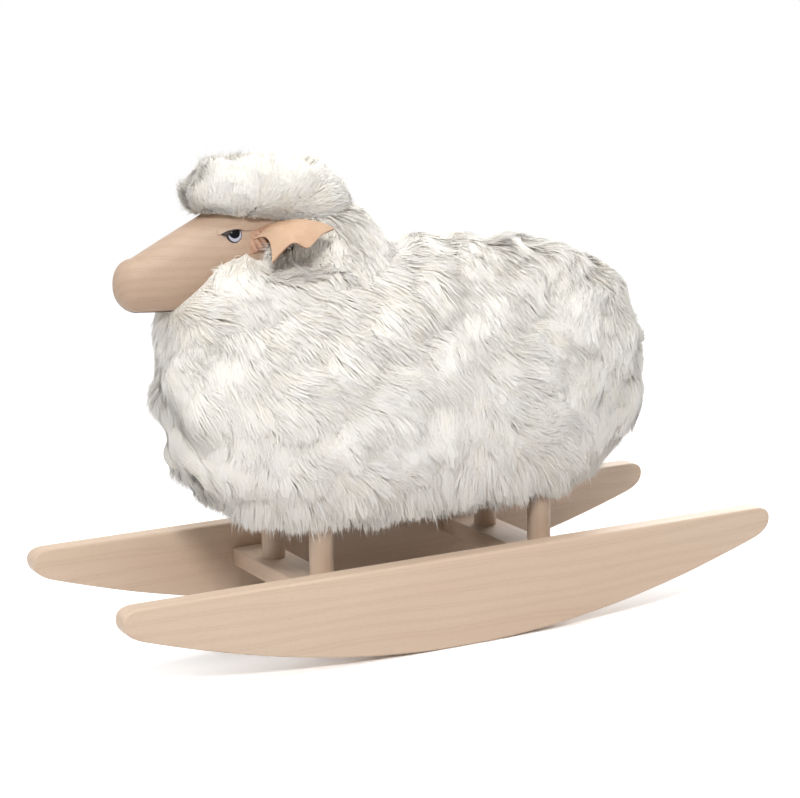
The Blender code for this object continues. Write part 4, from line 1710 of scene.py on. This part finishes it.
    def nearest(self, spots: np.ndarray, centres: np.ndarray) -> np.ndarray:
        """The centre nearest to each place.

        Args:
            spots: the places.
            centres: the centres.

        Returns:
            The index of a centre for each place.
        """
        tree = KDTree(len(centres))
        for index, centre in enumerate(centres):
            tree.insert(centre, index)
        tree.balance()
        return np.array([tree.find(spot)[1] for spot in spots])

    def covered(self, form: Padding, points: np.ndarray) -> np.ndarray:
        """Whether places lie inside the head or deep inside another form.

        Args:
            form: the form on which the places lie.
            points: the places.

        Returns:
            True for each place that is hidden.
        """
        hidden = self.head.level(points) < 1.0
        for other in self.forms:
            if other is not form:
                hidden |= other.level(points, self.sink) < 0.93
        return hidden

    def comb(self, form: Padding, points: np.ndarray, normals: np.ndarray) -> np.ndarray:
        """The way the wool lies at each place, along the skin.

        Args:
            form: the padded form.
            points: the places.
            normals: the way out of the skin.

        Returns:
            One direction for each place.
        """
        x, y, z = points.T
        if form is self.cap:
            from_point = np.stack([0.6 * x, np.full_like(x, self.fan_y), np.full_like(x, 0.412)], -1)
            way = unit(points - from_point)
            rear = smooth(-0.140, -0.085, y)
            way += rear[:, None] * np.stack([0.4 * np.sign(x), 0.7 + 0 * x, -0.75 + 0 * x], -1)
        elif form is self.neck:
            way = np.stack([2.0 * x, 0.35 + 0 * x, -0.9 + 0 * x], -1)
            face = bell(y, -0.235, 0.03) * smooth(0.33, 0.37, z)
            way += face[:, None] * np.stack([1.5 * np.sign(x), -1.1 + 0 * x, 1.3 + 0 * x], -1)
            cheek = self.cheek(form, points)
            way += cheek[:, None] * np.stack([0 * x, -0.5 + 0 * x, 0.9 + 0 * x], -1)
        else:
            way = np.stack([3.2 * x, 0.55 + 0 * x, -0.85 + 0 * x], -1)
            front = 1 - smooth(-0.26, -0.12, y)
            way[:, 1] -= 0.5 * front
        steady = 0.35 if form is self.cap else 1.0
        turn = steady * (0.42 * self.swirl(points) + 0.16 * self.curl(points))
        tangent = unit(way - normals * (way * normals).sum(1, keepdims=True))
        aside = np.cross(normals, tangent)
        return tangent * np.cos(turn)[:, None] + aside * np.sin(turn)[:, None]

    def lift(self, form: Padding, points: np.ndarray, normals: np.ndarray) -> np.ndarray:
        """How steeply the wool stands off the skin, in radians.

        Args:
            form: the padded form.
            points: the places.
            normals: the way out of the skin.

        Returns:
            One angle for each place.
        """
        if form is self.cap:
            crest = smooth(0.470, 0.495, points[:, 2])
            return np.radians(14 + 12 * crest + 4 * self.curl(points))
        low = smooth(0.30, 0.19, points[:, 2])
        angle = 14 + 4 * np.clip(normals[:, 2], 0, 1) + 1 * low + 28 * self.cheek(form, points)
        return np.radians(angle + 4 * self.curl(points))

    def coat(self, form: Padding, root: np.ndarray, normal: np.ndarray, length: float, loose: float) -> Coat:
        """How the wool lies at some places of a form.

        Args:
            form: the padded form.
            root: the places.
            normal: the way out of the skin there.
            length: of a fibre, in metres.
            loose: how much the fibres differ from one another, from 0 to 1.

        Returns:
            The lie of each fibre.
        """
        draw = self.draw
        count = len(root)
        comb = self.comb(form, root, normal)
        comb = unit(comb + 0.14 * loose * draw.normal(size=(count, 3)))
        comb = unit(comb - normal * (comb * normal).sum(1, keepdims=True))
        lift = self.lift(form, root, normal) + 0.09 * loose * draw.normal(size=count)
        low = smooth(0.30, 0.18, root[:, 2])
        under = smooth(-0.2, -0.8, normal[:, 2])
        size = length * (1 + 0.10 * self.tuft(root)) * (1 - 0.36 * loose * draw.random(count))
        size *= (1 + 0.16 * low) * (1 - 0.40 * under)
        fringe = smooth(0.185, 0.160, root[:, 2])
        ragged = 0.30 * (1 - smooth(-0.235, -0.17, root[:, 1])) + 0.32 * loose * draw.random(count)
        size *= 1 - fringe * ragged
        size *= 1 - (0.62 - 0.24 * self.cheek(form, root)) * smooth(1.35, 0.95, self.in_pocket(root))
        start, end = (lift + math.radians(13))[:, None], (lift - math.radians(15))[:, None]
        first = normal * np.sin(start) + comb * np.cos(start)
        second = normal * np.sin(end) + comb * np.cos(end)
        second[:, 2] -= 0.16
        if form is self.cap:
            centre = np.stack([0.5 * root[:, 0], np.full(count, self.fan_y), np.full(count, self.fan_z)], -1)
            fan = unit(unit(root - centre) + 0.20 * loose * draw.normal(size=(count, 3)))
            stand = smooth(0.25, 0.85, (fan * normal).sum(1)) * self.fore(root)
            first = unit(first + 1.6 * stand[:, None] * fan)
            second = unit(second + 2.2 * stand[:, None] * fan)
            size *= 1 - 0.38 * stand
        hang = 1 - smooth(0.150, 0.195, root[:, 2])[:, None]
        down = np.stack([0.9 * root[:, 0], 0.25 * root[:, 1], np.full(count, -1.0)], -1)
        first = unit(first * (1 - 0.6 * hang) + 0.6 * hang * down)
        second = unit(second * (1 - hang) + hang * down)
        return Coat(root, normal, first, second, size)

    def clear(self, form: Padding, p: np.ndarray, tall: np.ndarray, free: np.ndarray) -> np.ndarray:
        """Keeps points of the wool near their form, and moves them out of the head and the legs.

        Args:
            form: the padded form below them.
            p: the points, one row for each fibre.
            tall: how much higher than usual each fibre may stand, in metres.
            free: how far each fibre is let off, from 0 to 1, because it stands upright.

        Returns:
            The points in their new places.
        """
        shape = p.shape
        p = p.reshape(-1, 3)
        tall, free = np.repeat(tall, shape[1]), np.repeat(free, shape[1])
        away = p - np.array(form.middle)
        reach = np.linalg.norm(away, axis=1)
        proud = reach * (1 - 1 / np.maximum(form.level(p), 0.2))
        low = -0.004
        high = 0.0045 + 0.011 * self.chest(p) * (form is not self.cap) * smooth(0.20, 0.26, p[:, 2])
        if form is self.cap:
            crown = self.crown(p)
            high = high - 0.006 * crown * (1 - smooth(-0.235, -0.205, p[:, 1]))
            high = high - 0.010 * crown * smooth(-0.120, -0.085, p[:, 1])
            high = np.maximum(high, -0.003) + 0.003 * (1 - crown) + 0.005 * self.brow(p)
        else:
            nape = self.nape(p)
            rump = smooth(0.17, 0.25, p[:, 1]) * smooth(0.29, 0.24, p[:, 2])
            high = high + 0.005 * nape + 0.010 * rump * (form is self.body)
        if form is self.neck:
            low = low - 0.010 * self.notch(p)
            high = high - 0.010 * self.notch(p)
        high = high + 0.0016 * np.clip(self.tuft(p), -1, 1.2) + 0.0012 * np.clip(self.curl(p), -1, 1.2)
        high = high + tall + 0.8 * self.fillet(form, p)
        high = np.maximum(high, low + 0.002)
        pressed = low + (high - low) * (1 - np.exp(-(proud - low) / (high - low)))
        held = smooth(0.150, 0.185, p[:, 2]) * (1 - 0.85 * free)
        press = np.where(proud > low, proud - pressed, 0.0) * held
        p = p - unit(away) * press[:, None]
        level = self.head.level(p)
        inside = level < 1.05
        if inside.any():
            top, bottom, _ = self.head.section(p[inside, 1])
            middle = np.stack([0 * top, p[inside, 1], (top + bottom) / 2], -1)
            p[inside] = middle + (p[inside] - middle) * (1.05 / np.maximum(level[inside], 0.3))[:, None]
        if form is not self.body:
            inside = (self.in_pocket(p, self.fibre_room) < 1.0) & (np.abs(p[:, 0]) > 0.052)
            centre = np.tile(self.pocket_middle, (int(inside.sum()), 1))
            centre[:, 0] *= np.sign(p[inside, 0])
            deep = np.maximum(self.in_pocket(p[inside], self.fibre_room), 0.3)[:, None]
            p[inside] = centre + (p[inside] - centre) / deep
        for sx in (-1, 1):
            for sy in (-1, 1):
                axis = np.array((sx * Base.leg_track / 2, sy * Base.leg_base / 2))
                flat = p[:, :2] - axis
                away = np.linalg.norm(flat, axis=1)
                near = (away < self.leg_room) & (p[:, 2] < 0.150)
                p[near, :2] = axis + flat[near] * (self.leg_room / np.maximum(away[near], 1e-4))[:, None]
        p[:, 0] = np.clip(p[:, 0], -self.widest, self.widest)
        p[:, 2] = np.clip(p[:, 2], self.lowest, self.highest)
        return p.reshape(shape)

    def fibres(self, form: Padding, count: int, length: float) -> "WoolMesh":
        """Fine fibres all over a form, whose tips draw together in small clumps and soft locks.

        Args:
            form: the padded form below them.
            count: how many are sown, before those under other pieces are left out.
            length: of a fibre, in metres.

        Returns:
            Thin ribbons, pointed at both ends, with their flat side outwards.
        """
        draw = self.draw
        root, normal = self.roots(form, count)
        if form is self.neck:
            more, faces_out = self.cheek_roots(26000)
            order = draw.permutation(len(root) + len(more))
            root, normal = np.vstack([root, more])[order], np.vstack([normal, faces_out])[order]
        own = self.coat(form, root, normal, length, 1.0)
        total = len(root)
        clump_root = self.thin_out(root[:40000], self.clump_gap)
        clumps = self.coat(form, root[clump_root], normal[clump_root], length, 0.35)
        lock_root = self.thin_out(root[:9000], self.lock_gap)
        tufts = self.coat(form, root[lock_root], normal[lock_root], length, 0.2)
        clump = self.nearest(root, clumps.root)
        lock = self.nearest(clumps.root, tufts.root)[clump]
        share = np.array(self.shares)
        spine = own.along(np.broadcast_to(share, (total, 4)))
        stray = draw.random(total) < 0.14
        low = smooth(0.30, 0.17, root[:, 2])
        tight = np.clip(0.14 + 0.52 * low + 0.08 * self.curl(root), 0.05, 0.9) * draw.uniform(0.5, 1.0, total)
        held = np.clip(0.20 + 0.10 * self.tuft(root), 0.0, 0.4)
        tight, held = (np.where(stray, 0.1 * value, value)[:, None, None] for value in (tight, held))
        pace = (share**1.3)[None, :, None]
        same = np.broadcast_to(share * 0.92, (total, 4))
        spine += tight * pace * (clumps.only(clump).along(same) - spine)
        spine += held * pace * (tufts.only(lock).along(same) - spine)
        spine += draw.normal(size=spine.shape) * 0.0006 * np.array([0.0, 0.5, 0.9, 1.3])[None, :, None]
        ruffle = np.abs(draw.normal(size=total)) * np.where(stray, 0.0052, 0.0008)
        spine += normal[:, None] * (ruffle[:, None] * share**1.4)[..., None]
        by_lock = draw.uniform(-1.0, 1.0, len(tufts.root))[lock]
        by_clump = draw.uniform(-1.0, 1.0, len(clumps.root))[clump]
        tall = by_lock + 0.6 * by_clump
        free = np.zeros(total)
        if form is self.cap:
            free = smooth(0.30, 0.75, (unit(spine[:, 3] - spine[:, 0]) * normal).sum(1))
            free *= self.fore(root)
            stretch = (1 - 0.40 * free + 0.22 * free * tall)[:, None, None]
            spine = root[:, None] + (spine - root[:, None]) * stretch
        spine = self.clear(form, spine, tall * (0.0060 if form is self.cap else 0.0018), free)
        run = unit(spine[:, 3] - spine[:, 0])
        side = unit(np.cross(run, normal))
        face = np.cross(side, run)
        roll = (draw.normal(size=total) * 0.12)[:, None]
        side = side * np.cos(roll) + face * np.sin(roll)
        half = (self.fibre_half * draw.uniform(0.7, 1.3, total) * np.where(stray, 0.7, 1.0))[:, None]
        start, first, second, tip = (spine[:, i] for i in range(4))
        edge, thin = side * half, side * half * 0.75
        points = np.stack([start, first - edge, first + edge, second - thin, second + thin, tip], 1)
        faces = [(0, 2, 1), (1, 2, 4, 3), (3, 4, 5)]
        tone = draw.random(len(clumps.root))[clump] * 0.5 + draw.random(len(tufts.root))[lock] * 0.5
        tone = np.clip(tone + 0.16 * draw.normal(size=total), 0.02, 0.98)
        lean = (root - tufts.root[lock]) / 0.012
        outward = self.shading(form, root, normal, lean, run, face)
        left, right = unit(outward - 0.12 * side), unit(outward + 0.12 * side)
        shade = np.stack([outward, left, right, left, right, outward], 1)
        along = share[[0, 1, 1, 2, 2, 3]][None] + np.zeros((total, 1))
        return WoolMesh(points, faces, tone[:, None] + np.zeros((1, 6)), along, shade)

    def shading(
        self,
        form: Padding,
        root: np.ndarray,
        normal: np.ndarray,
        lean: np.ndarray,
        run: np.ndarray,
        face: np.ndarray,
    ) -> np.ndarray:
        """The way that each fibre faces for the light: with the skin, or sideways where it stands upright.

        Args:
            form: the padded form below the fibres.
            root: their roots.
            normal: the way out of the skin there.
            lean: from the middle of a fibre's lock to its root, as a share of the lock's size.
            run: the way that each fibre runs.
            face: the way that its flat side looks.

        Returns:
            One direction for each fibre.
        """
        plain = unit((root - np.array(form.middle)) / np.array(form.half) ** 2)
        outward = normal + 0.15 * (lean - normal * (lean * normal).sum(1, keepdims=True))
        outward = unit(0.5 * outward + (0.2 if form is self.cap else 0.5) * plain)
        upright = smooth(0.35, 0.85, np.abs((run * normal).sum(1)))[:, None]
        facing = face * np.where((face * plain).sum(1) < 0, -1.0, 1.0)[:, None]
        return unit((1 - 0.75 * upright) * outward + 0.75 * upright * facing)

    def build(self) -> None:
        """Makes the undercoat and every area of wool."""
        under = Underwool().material()
        wool = Wool().material()
        for form in self.forms:
            self.undercoat(form, under)
        crops = ((self.body, 260000, 0.038), (self.neck, 84000, 0.035), (self.cap, 56000, 0.033))
        for form, count, length in crops:
            grown = self.fibres(form, count, length)
            x, y, z = grown.points[:, 0].T
            if form is self.cap:
                areas = {"topknot_left": x >= 0, "topknot_right": x < 0}
            elif form is self.neck:
                areas = {"neck_left": x >= 0, "neck_right": x < 0}
            else:
                back = z > 0.335
                areas = {"back_front": back & (y < 0.04), "back_rear": back & (y >= 0.04)}
                for side in Side:
                    here = (x * side.value >= 0) & ~back
                    areas[f"flank_{side.word}_front"] = here & (y < -0.08)
                    areas[f"flank_{side.word}_middle"] = here & (y >= -0.08) & (y < 0.085)
                    areas[f"flank_{side.word}_rear"] = here & (y >= 0.085)
            for name, mask in areas.items():
                grown.only(mask).piece(f"wool_{name}", wool)


@dataclass
class WoolMesh:
    """Many small shapes of one kind, before they become a piece.

    The points have one row for each shape. The faces are those of one shape, across and along are
    the wool's map at each point of a shape, and shade is the way that each point faces, softened.
    """

    points: np.ndarray
    faces: list
    across: np.ndarray
    along: np.ndarray
    shade: np.ndarray

    def only(self, pick: np.ndarray) -> "WoolMesh":
        """Some of the shapes."""
        return WoolMesh(self.points[pick], self.faces, self.across[pick], self.along[pick], self.shade[pick])

    def piece(self, name: str, finish: bpy.types.Material) -> bpy.types.Object:
        """Makes one piece of them all, with its maps, and dresses it.

        Args:
            name: the piece's name.
            finish: its material.

        Returns:
            The piece.
        """
        total, each, _ = self.points.shape
        loops = np.array([v for face in self.faces for v in face])
        sizes = np.array([len(face) for face in self.faces])
        mesh = bpy.data.meshes.new(name)
        mesh.vertices.add(total * each)
        mesh.vertices.foreach_set("co", self.points.astype(np.float32).ravel())
        all_loops = (np.arange(total)[:, None] * each + loops[None]).ravel()
        all_sizes = np.tile(sizes, total)
        mesh.loops.add(len(all_loops))
        mesh.loops.foreach_set("vertex_index", all_loops.astype(np.int32))
        mesh.polygons.add(len(all_sizes))
        starts = np.concatenate([[0], np.cumsum(all_sizes)[:-1]])
        mesh.polygons.foreach_set("loop_start", starts.astype(np.int32))
        mesh.polygons.foreach_set("loop_total", all_sizes.astype(np.int32))
        mesh.update(calc_edges=True)
        across = self.across[:, loops]
        along = np.broadcast_to(self.along, (total, each))[:, loops]
        uv = np.stack([across, along], -1).reshape(-1).astype(np.float32)
        for layer in ("wool_uv", "OFBake"):
            mesh.uv_layers.new(name=layer).data.foreach_set("uv", uv)
        mesh.shade_smooth()
        mesh.normals_split_custom_set_from_vertices(self.shade.reshape(-1, 3).tolist())
        thing = bpy.data.objects.new(name, mesh)
        bpy.context.scene.collection.objects.link(thing)
        dress(thing, finish)
        return thing


# The rest of the part, the room and the camera


def dress_hidden_nodes(nodes: dict[str, bpy.types.Object]) -> None:
    """Gives the part's own pieces that stay their materials.

    Args:
        nodes: the part's nodes by name.
    """
    pin_wood = Beech("beech_pin", Grain.ALONG_X, contrast=0.35).material()
    rail_wood = Beech("beech_rail", Grain.ALONG_Y, contrast=0.45).material()
    post_wood = Beech("beech_post", Grain.ALONG_Z, contrast=0.45).material()
    plywood = Plywood().material()
    steel = ZincSteel().material()
    for name, thing in nodes.items():
        if thing.hide_render:
            continue
        if name.startswith("joint_pin"):
            finish = pin_wood
        elif name.startswith("leg_screw"):
            finish = steel
        elif name == "spine_rail":
            finish = rail_wood
        elif name == "neck_post":
            finish = post_wood
        else:
            finish = plywood
        thing.data.materials.clear()
        thing.data.materials.append(finish)
        LOG.info("node %s wears %s", name, finish.name)


@dataclass
class Studio:
    """A pale floor, soft lamps and the camera."""

    yaw: float = 0.4937
    elevation: float = 0.2066
    roll: float = -0.0157
    distance: float = 2.50316
    target: Point = (0.0, -0.00551, 0.23541)
    focal_pixels: float = 2367.2873
    image_width: float = 800.0
    key_power: float = 55.0
    key_size: float = 0.60
    top_power: float = 36.0
    rear_power: float = 52.0
    fill: float = 0.24
    floor_seen: float = 1.35

    def camera(self) -> None:
        """The camera at the photograph's viewing angle."""
        ce, se = math.cos(self.elevation), math.sin(self.elevation)
        back = Vector((ce * math.cos(self.yaw), -ce * math.sin(self.yaw), se))
        place = Vector(self.target) + self.distance * back
        forward = -back
        right = forward.cross(Vector((0, 0, 1))).normalized()
        up = right.cross(forward)
        cr, sr = math.cos(self.roll), math.sin(self.roll)
        right, up = cr * right + sr * up, cr * up - sr * right
        turn = Matrix((right, up, back)).transposed().to_4x4()
        data = bpy.data.cameras.new("camera")
        data.sensor_width = 36.0
        data.lens = self.focal_pixels / self.image_width * 36.0
        data.clip_end = 50.0
        camera = bpy.data.objects.new("camera", data)
        bpy.context.scene.collection.objects.link(camera)
        camera.matrix_world = Matrix.Translation(place) @ turn
        bpy.context.scene.camera = camera

    def floor(self) -> None:
        """A round pale floor that fades into the white room."""
        bpy.ops.mesh.primitive_circle_add(vertices=96, radius=3.0, fill_type="NGON", location=(0, 0, -0.0002))
        floor = bpy.context.object
        floor.name = "studio_floor"
        settle(floor)
        g = Graph("floor_paint")
        path = g.node("LightPath")
        seen = path.outputs["Is Camera Ray"]
        for ray in ("Is Glossy Ray", "Is Transmission Ray"):
            seen = g.node("Math", {0: seen, 1: path.outputs[ray]}, operation="MAXIMUM").outputs[0]
        grain = g.node("TexNoise", {"Vector": g.object_space(), "Scale": 30.0, "Detail": 3.0})
        paint = g.ramp(grain.outputs["Fac"], [(0.3, (0.80, 0.80, 0.81)), (0.7, (0.84, 0.84, 0.84))])
        lit = g.node("BsdfDiffuse", {"Color": g.mix(seen, paint, (self.floor_seen,) * 3)})
        start = g.node("TexCoord")
        reach = g.node("VectorMath", {0: start.outputs["Object"]}, operation="LENGTH")
        far = g.node("MapRange", {"Value": reach.outputs["Value"], "From Min": 0.9, "From Max": 2.6})
        fade = g.ramp(far.outputs["Result"], [(0.0, 0.0), (1.0, 1.0)])
        clear = g.node("BsdfTransparent")
        both = g.node("MixShader", {0: fade, 1: lit.outputs[0], 2: clear.outputs[0]})
        out = next(n for n in g.tree.nodes if n.type == "OUTPUT_MATERIAL")
        g.tree.links.new(both.outputs[0], out.inputs["Surface"])
        floor.data.materials.append(g.material)

    def lamps(self) -> None:
        """A key lamp at the side and softer ones in front, above and behind."""
        way = Vector((1.21, -0.67, 1.0)).normalized()
        for name, direction, reach, size, power in (
            ("key_lamp", way, 3.2, self.key_size, self.key_power),
            ("side_lamp", Vector((-0.6, -1.2, 0.9)).normalized(), 3.0, 1.6, 15.0),
            ("top_lamp", Vector((0.15, -0.1, 1.0)).normalized(), 2.6, 2.2, self.top_power),
            ("rear_lamp", Vector((-0.75, 1.0, 0.55)).normalized(), 3.0, 1.8, self.rear_power),
        ):
            data = bpy.data.lights.new(name, "AREA")
            data.shape = "DISK"
            data.size = size
            data.energy = power
            lamp = bpy.data.objects.new(name, data)
            lamp.location = Vector((0, 0, 0.22)) + direction * reach
            lamp.rotation_mode = "QUATERNION"
            lamp.rotation_quaternion = direction.to_track_quat("Z", "Y")
            bpy.context.scene.collection.objects.link(lamp)

    def room(self) -> None:
        """An even light all round, and plain white where the camera sees it."""
        world = bpy.data.worlds.new("room")
        bpy.context.scene.world = world
        world.use_nodes = True
        tree = world.node_tree
        tree.nodes.clear()
        new, link = tree.nodes.new, tree.links.new
        path = new("ShaderNodeLightPath")
        seen = path.outputs["Is Camera Ray"]
        for ray in ("Is Glossy Ray", "Is Transmission Ray"):
            most = new("ShaderNodeMath")
            most.operation = "MAXIMUM"
            link(seen, most.inputs[0])
            link(path.outputs[ray], most.inputs[1])
            seen = most.outputs[0]
        mix = new("ShaderNodeMixShader")
        link(seen, mix.inputs[0])
        lights = (((0.97, 0.98, 1.0, 1.0), self.fill), ((1.0, 1.0, 1.0, 1.0), 1.0))
        for socket, (colour, strength) in zip(list(mix.inputs)[1:], lights):
            light = new("ShaderNodeBackground")
            light.inputs["Color"].default_value = colour
            light.inputs["Strength"].default_value = strength
            link(light.outputs[0], socket)
        out = new("ShaderNodeOutputWorld")
        link(mix.outputs[0], out.inputs["Surface"])

    def build(self) -> None:
        """Sets up the camera, floor, lamps, room and colour."""
        self.camera()
        self.floor()
        self.lamps()
        self.room()
        bpy.context.scene.view_settings.view_transform = "Standard"


def main() -> None:
    """Builds every sub-assembly in order and reports each piece."""
    logging.basicConfig(level=logging.INFO, format="%(name)s: %(message)s")
    for thing in list(bpy.data.objects):
        bpy.data.objects.remove(thing, do_unlink=True)
    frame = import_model()
    Studio().build()
    Base().build()
    head = Head()
    head_wood = Beech(
        "beech_head",
        Grain.ALONG_Y,
        heart=(0.0, 0.03, -0.34),
        pale=(0.53, 0.385, 0.283),
        dark=(0.42, 0.285, 0.20),
        ring_gap=0.011,
        contrast=0.5,
    )
    head.build(head_wood.material())
    Ears().build(head)
    Fleece(head).build()
    dress_hidden_nodes(frame["nodes"])


if __name__ == "__main__":
    main()
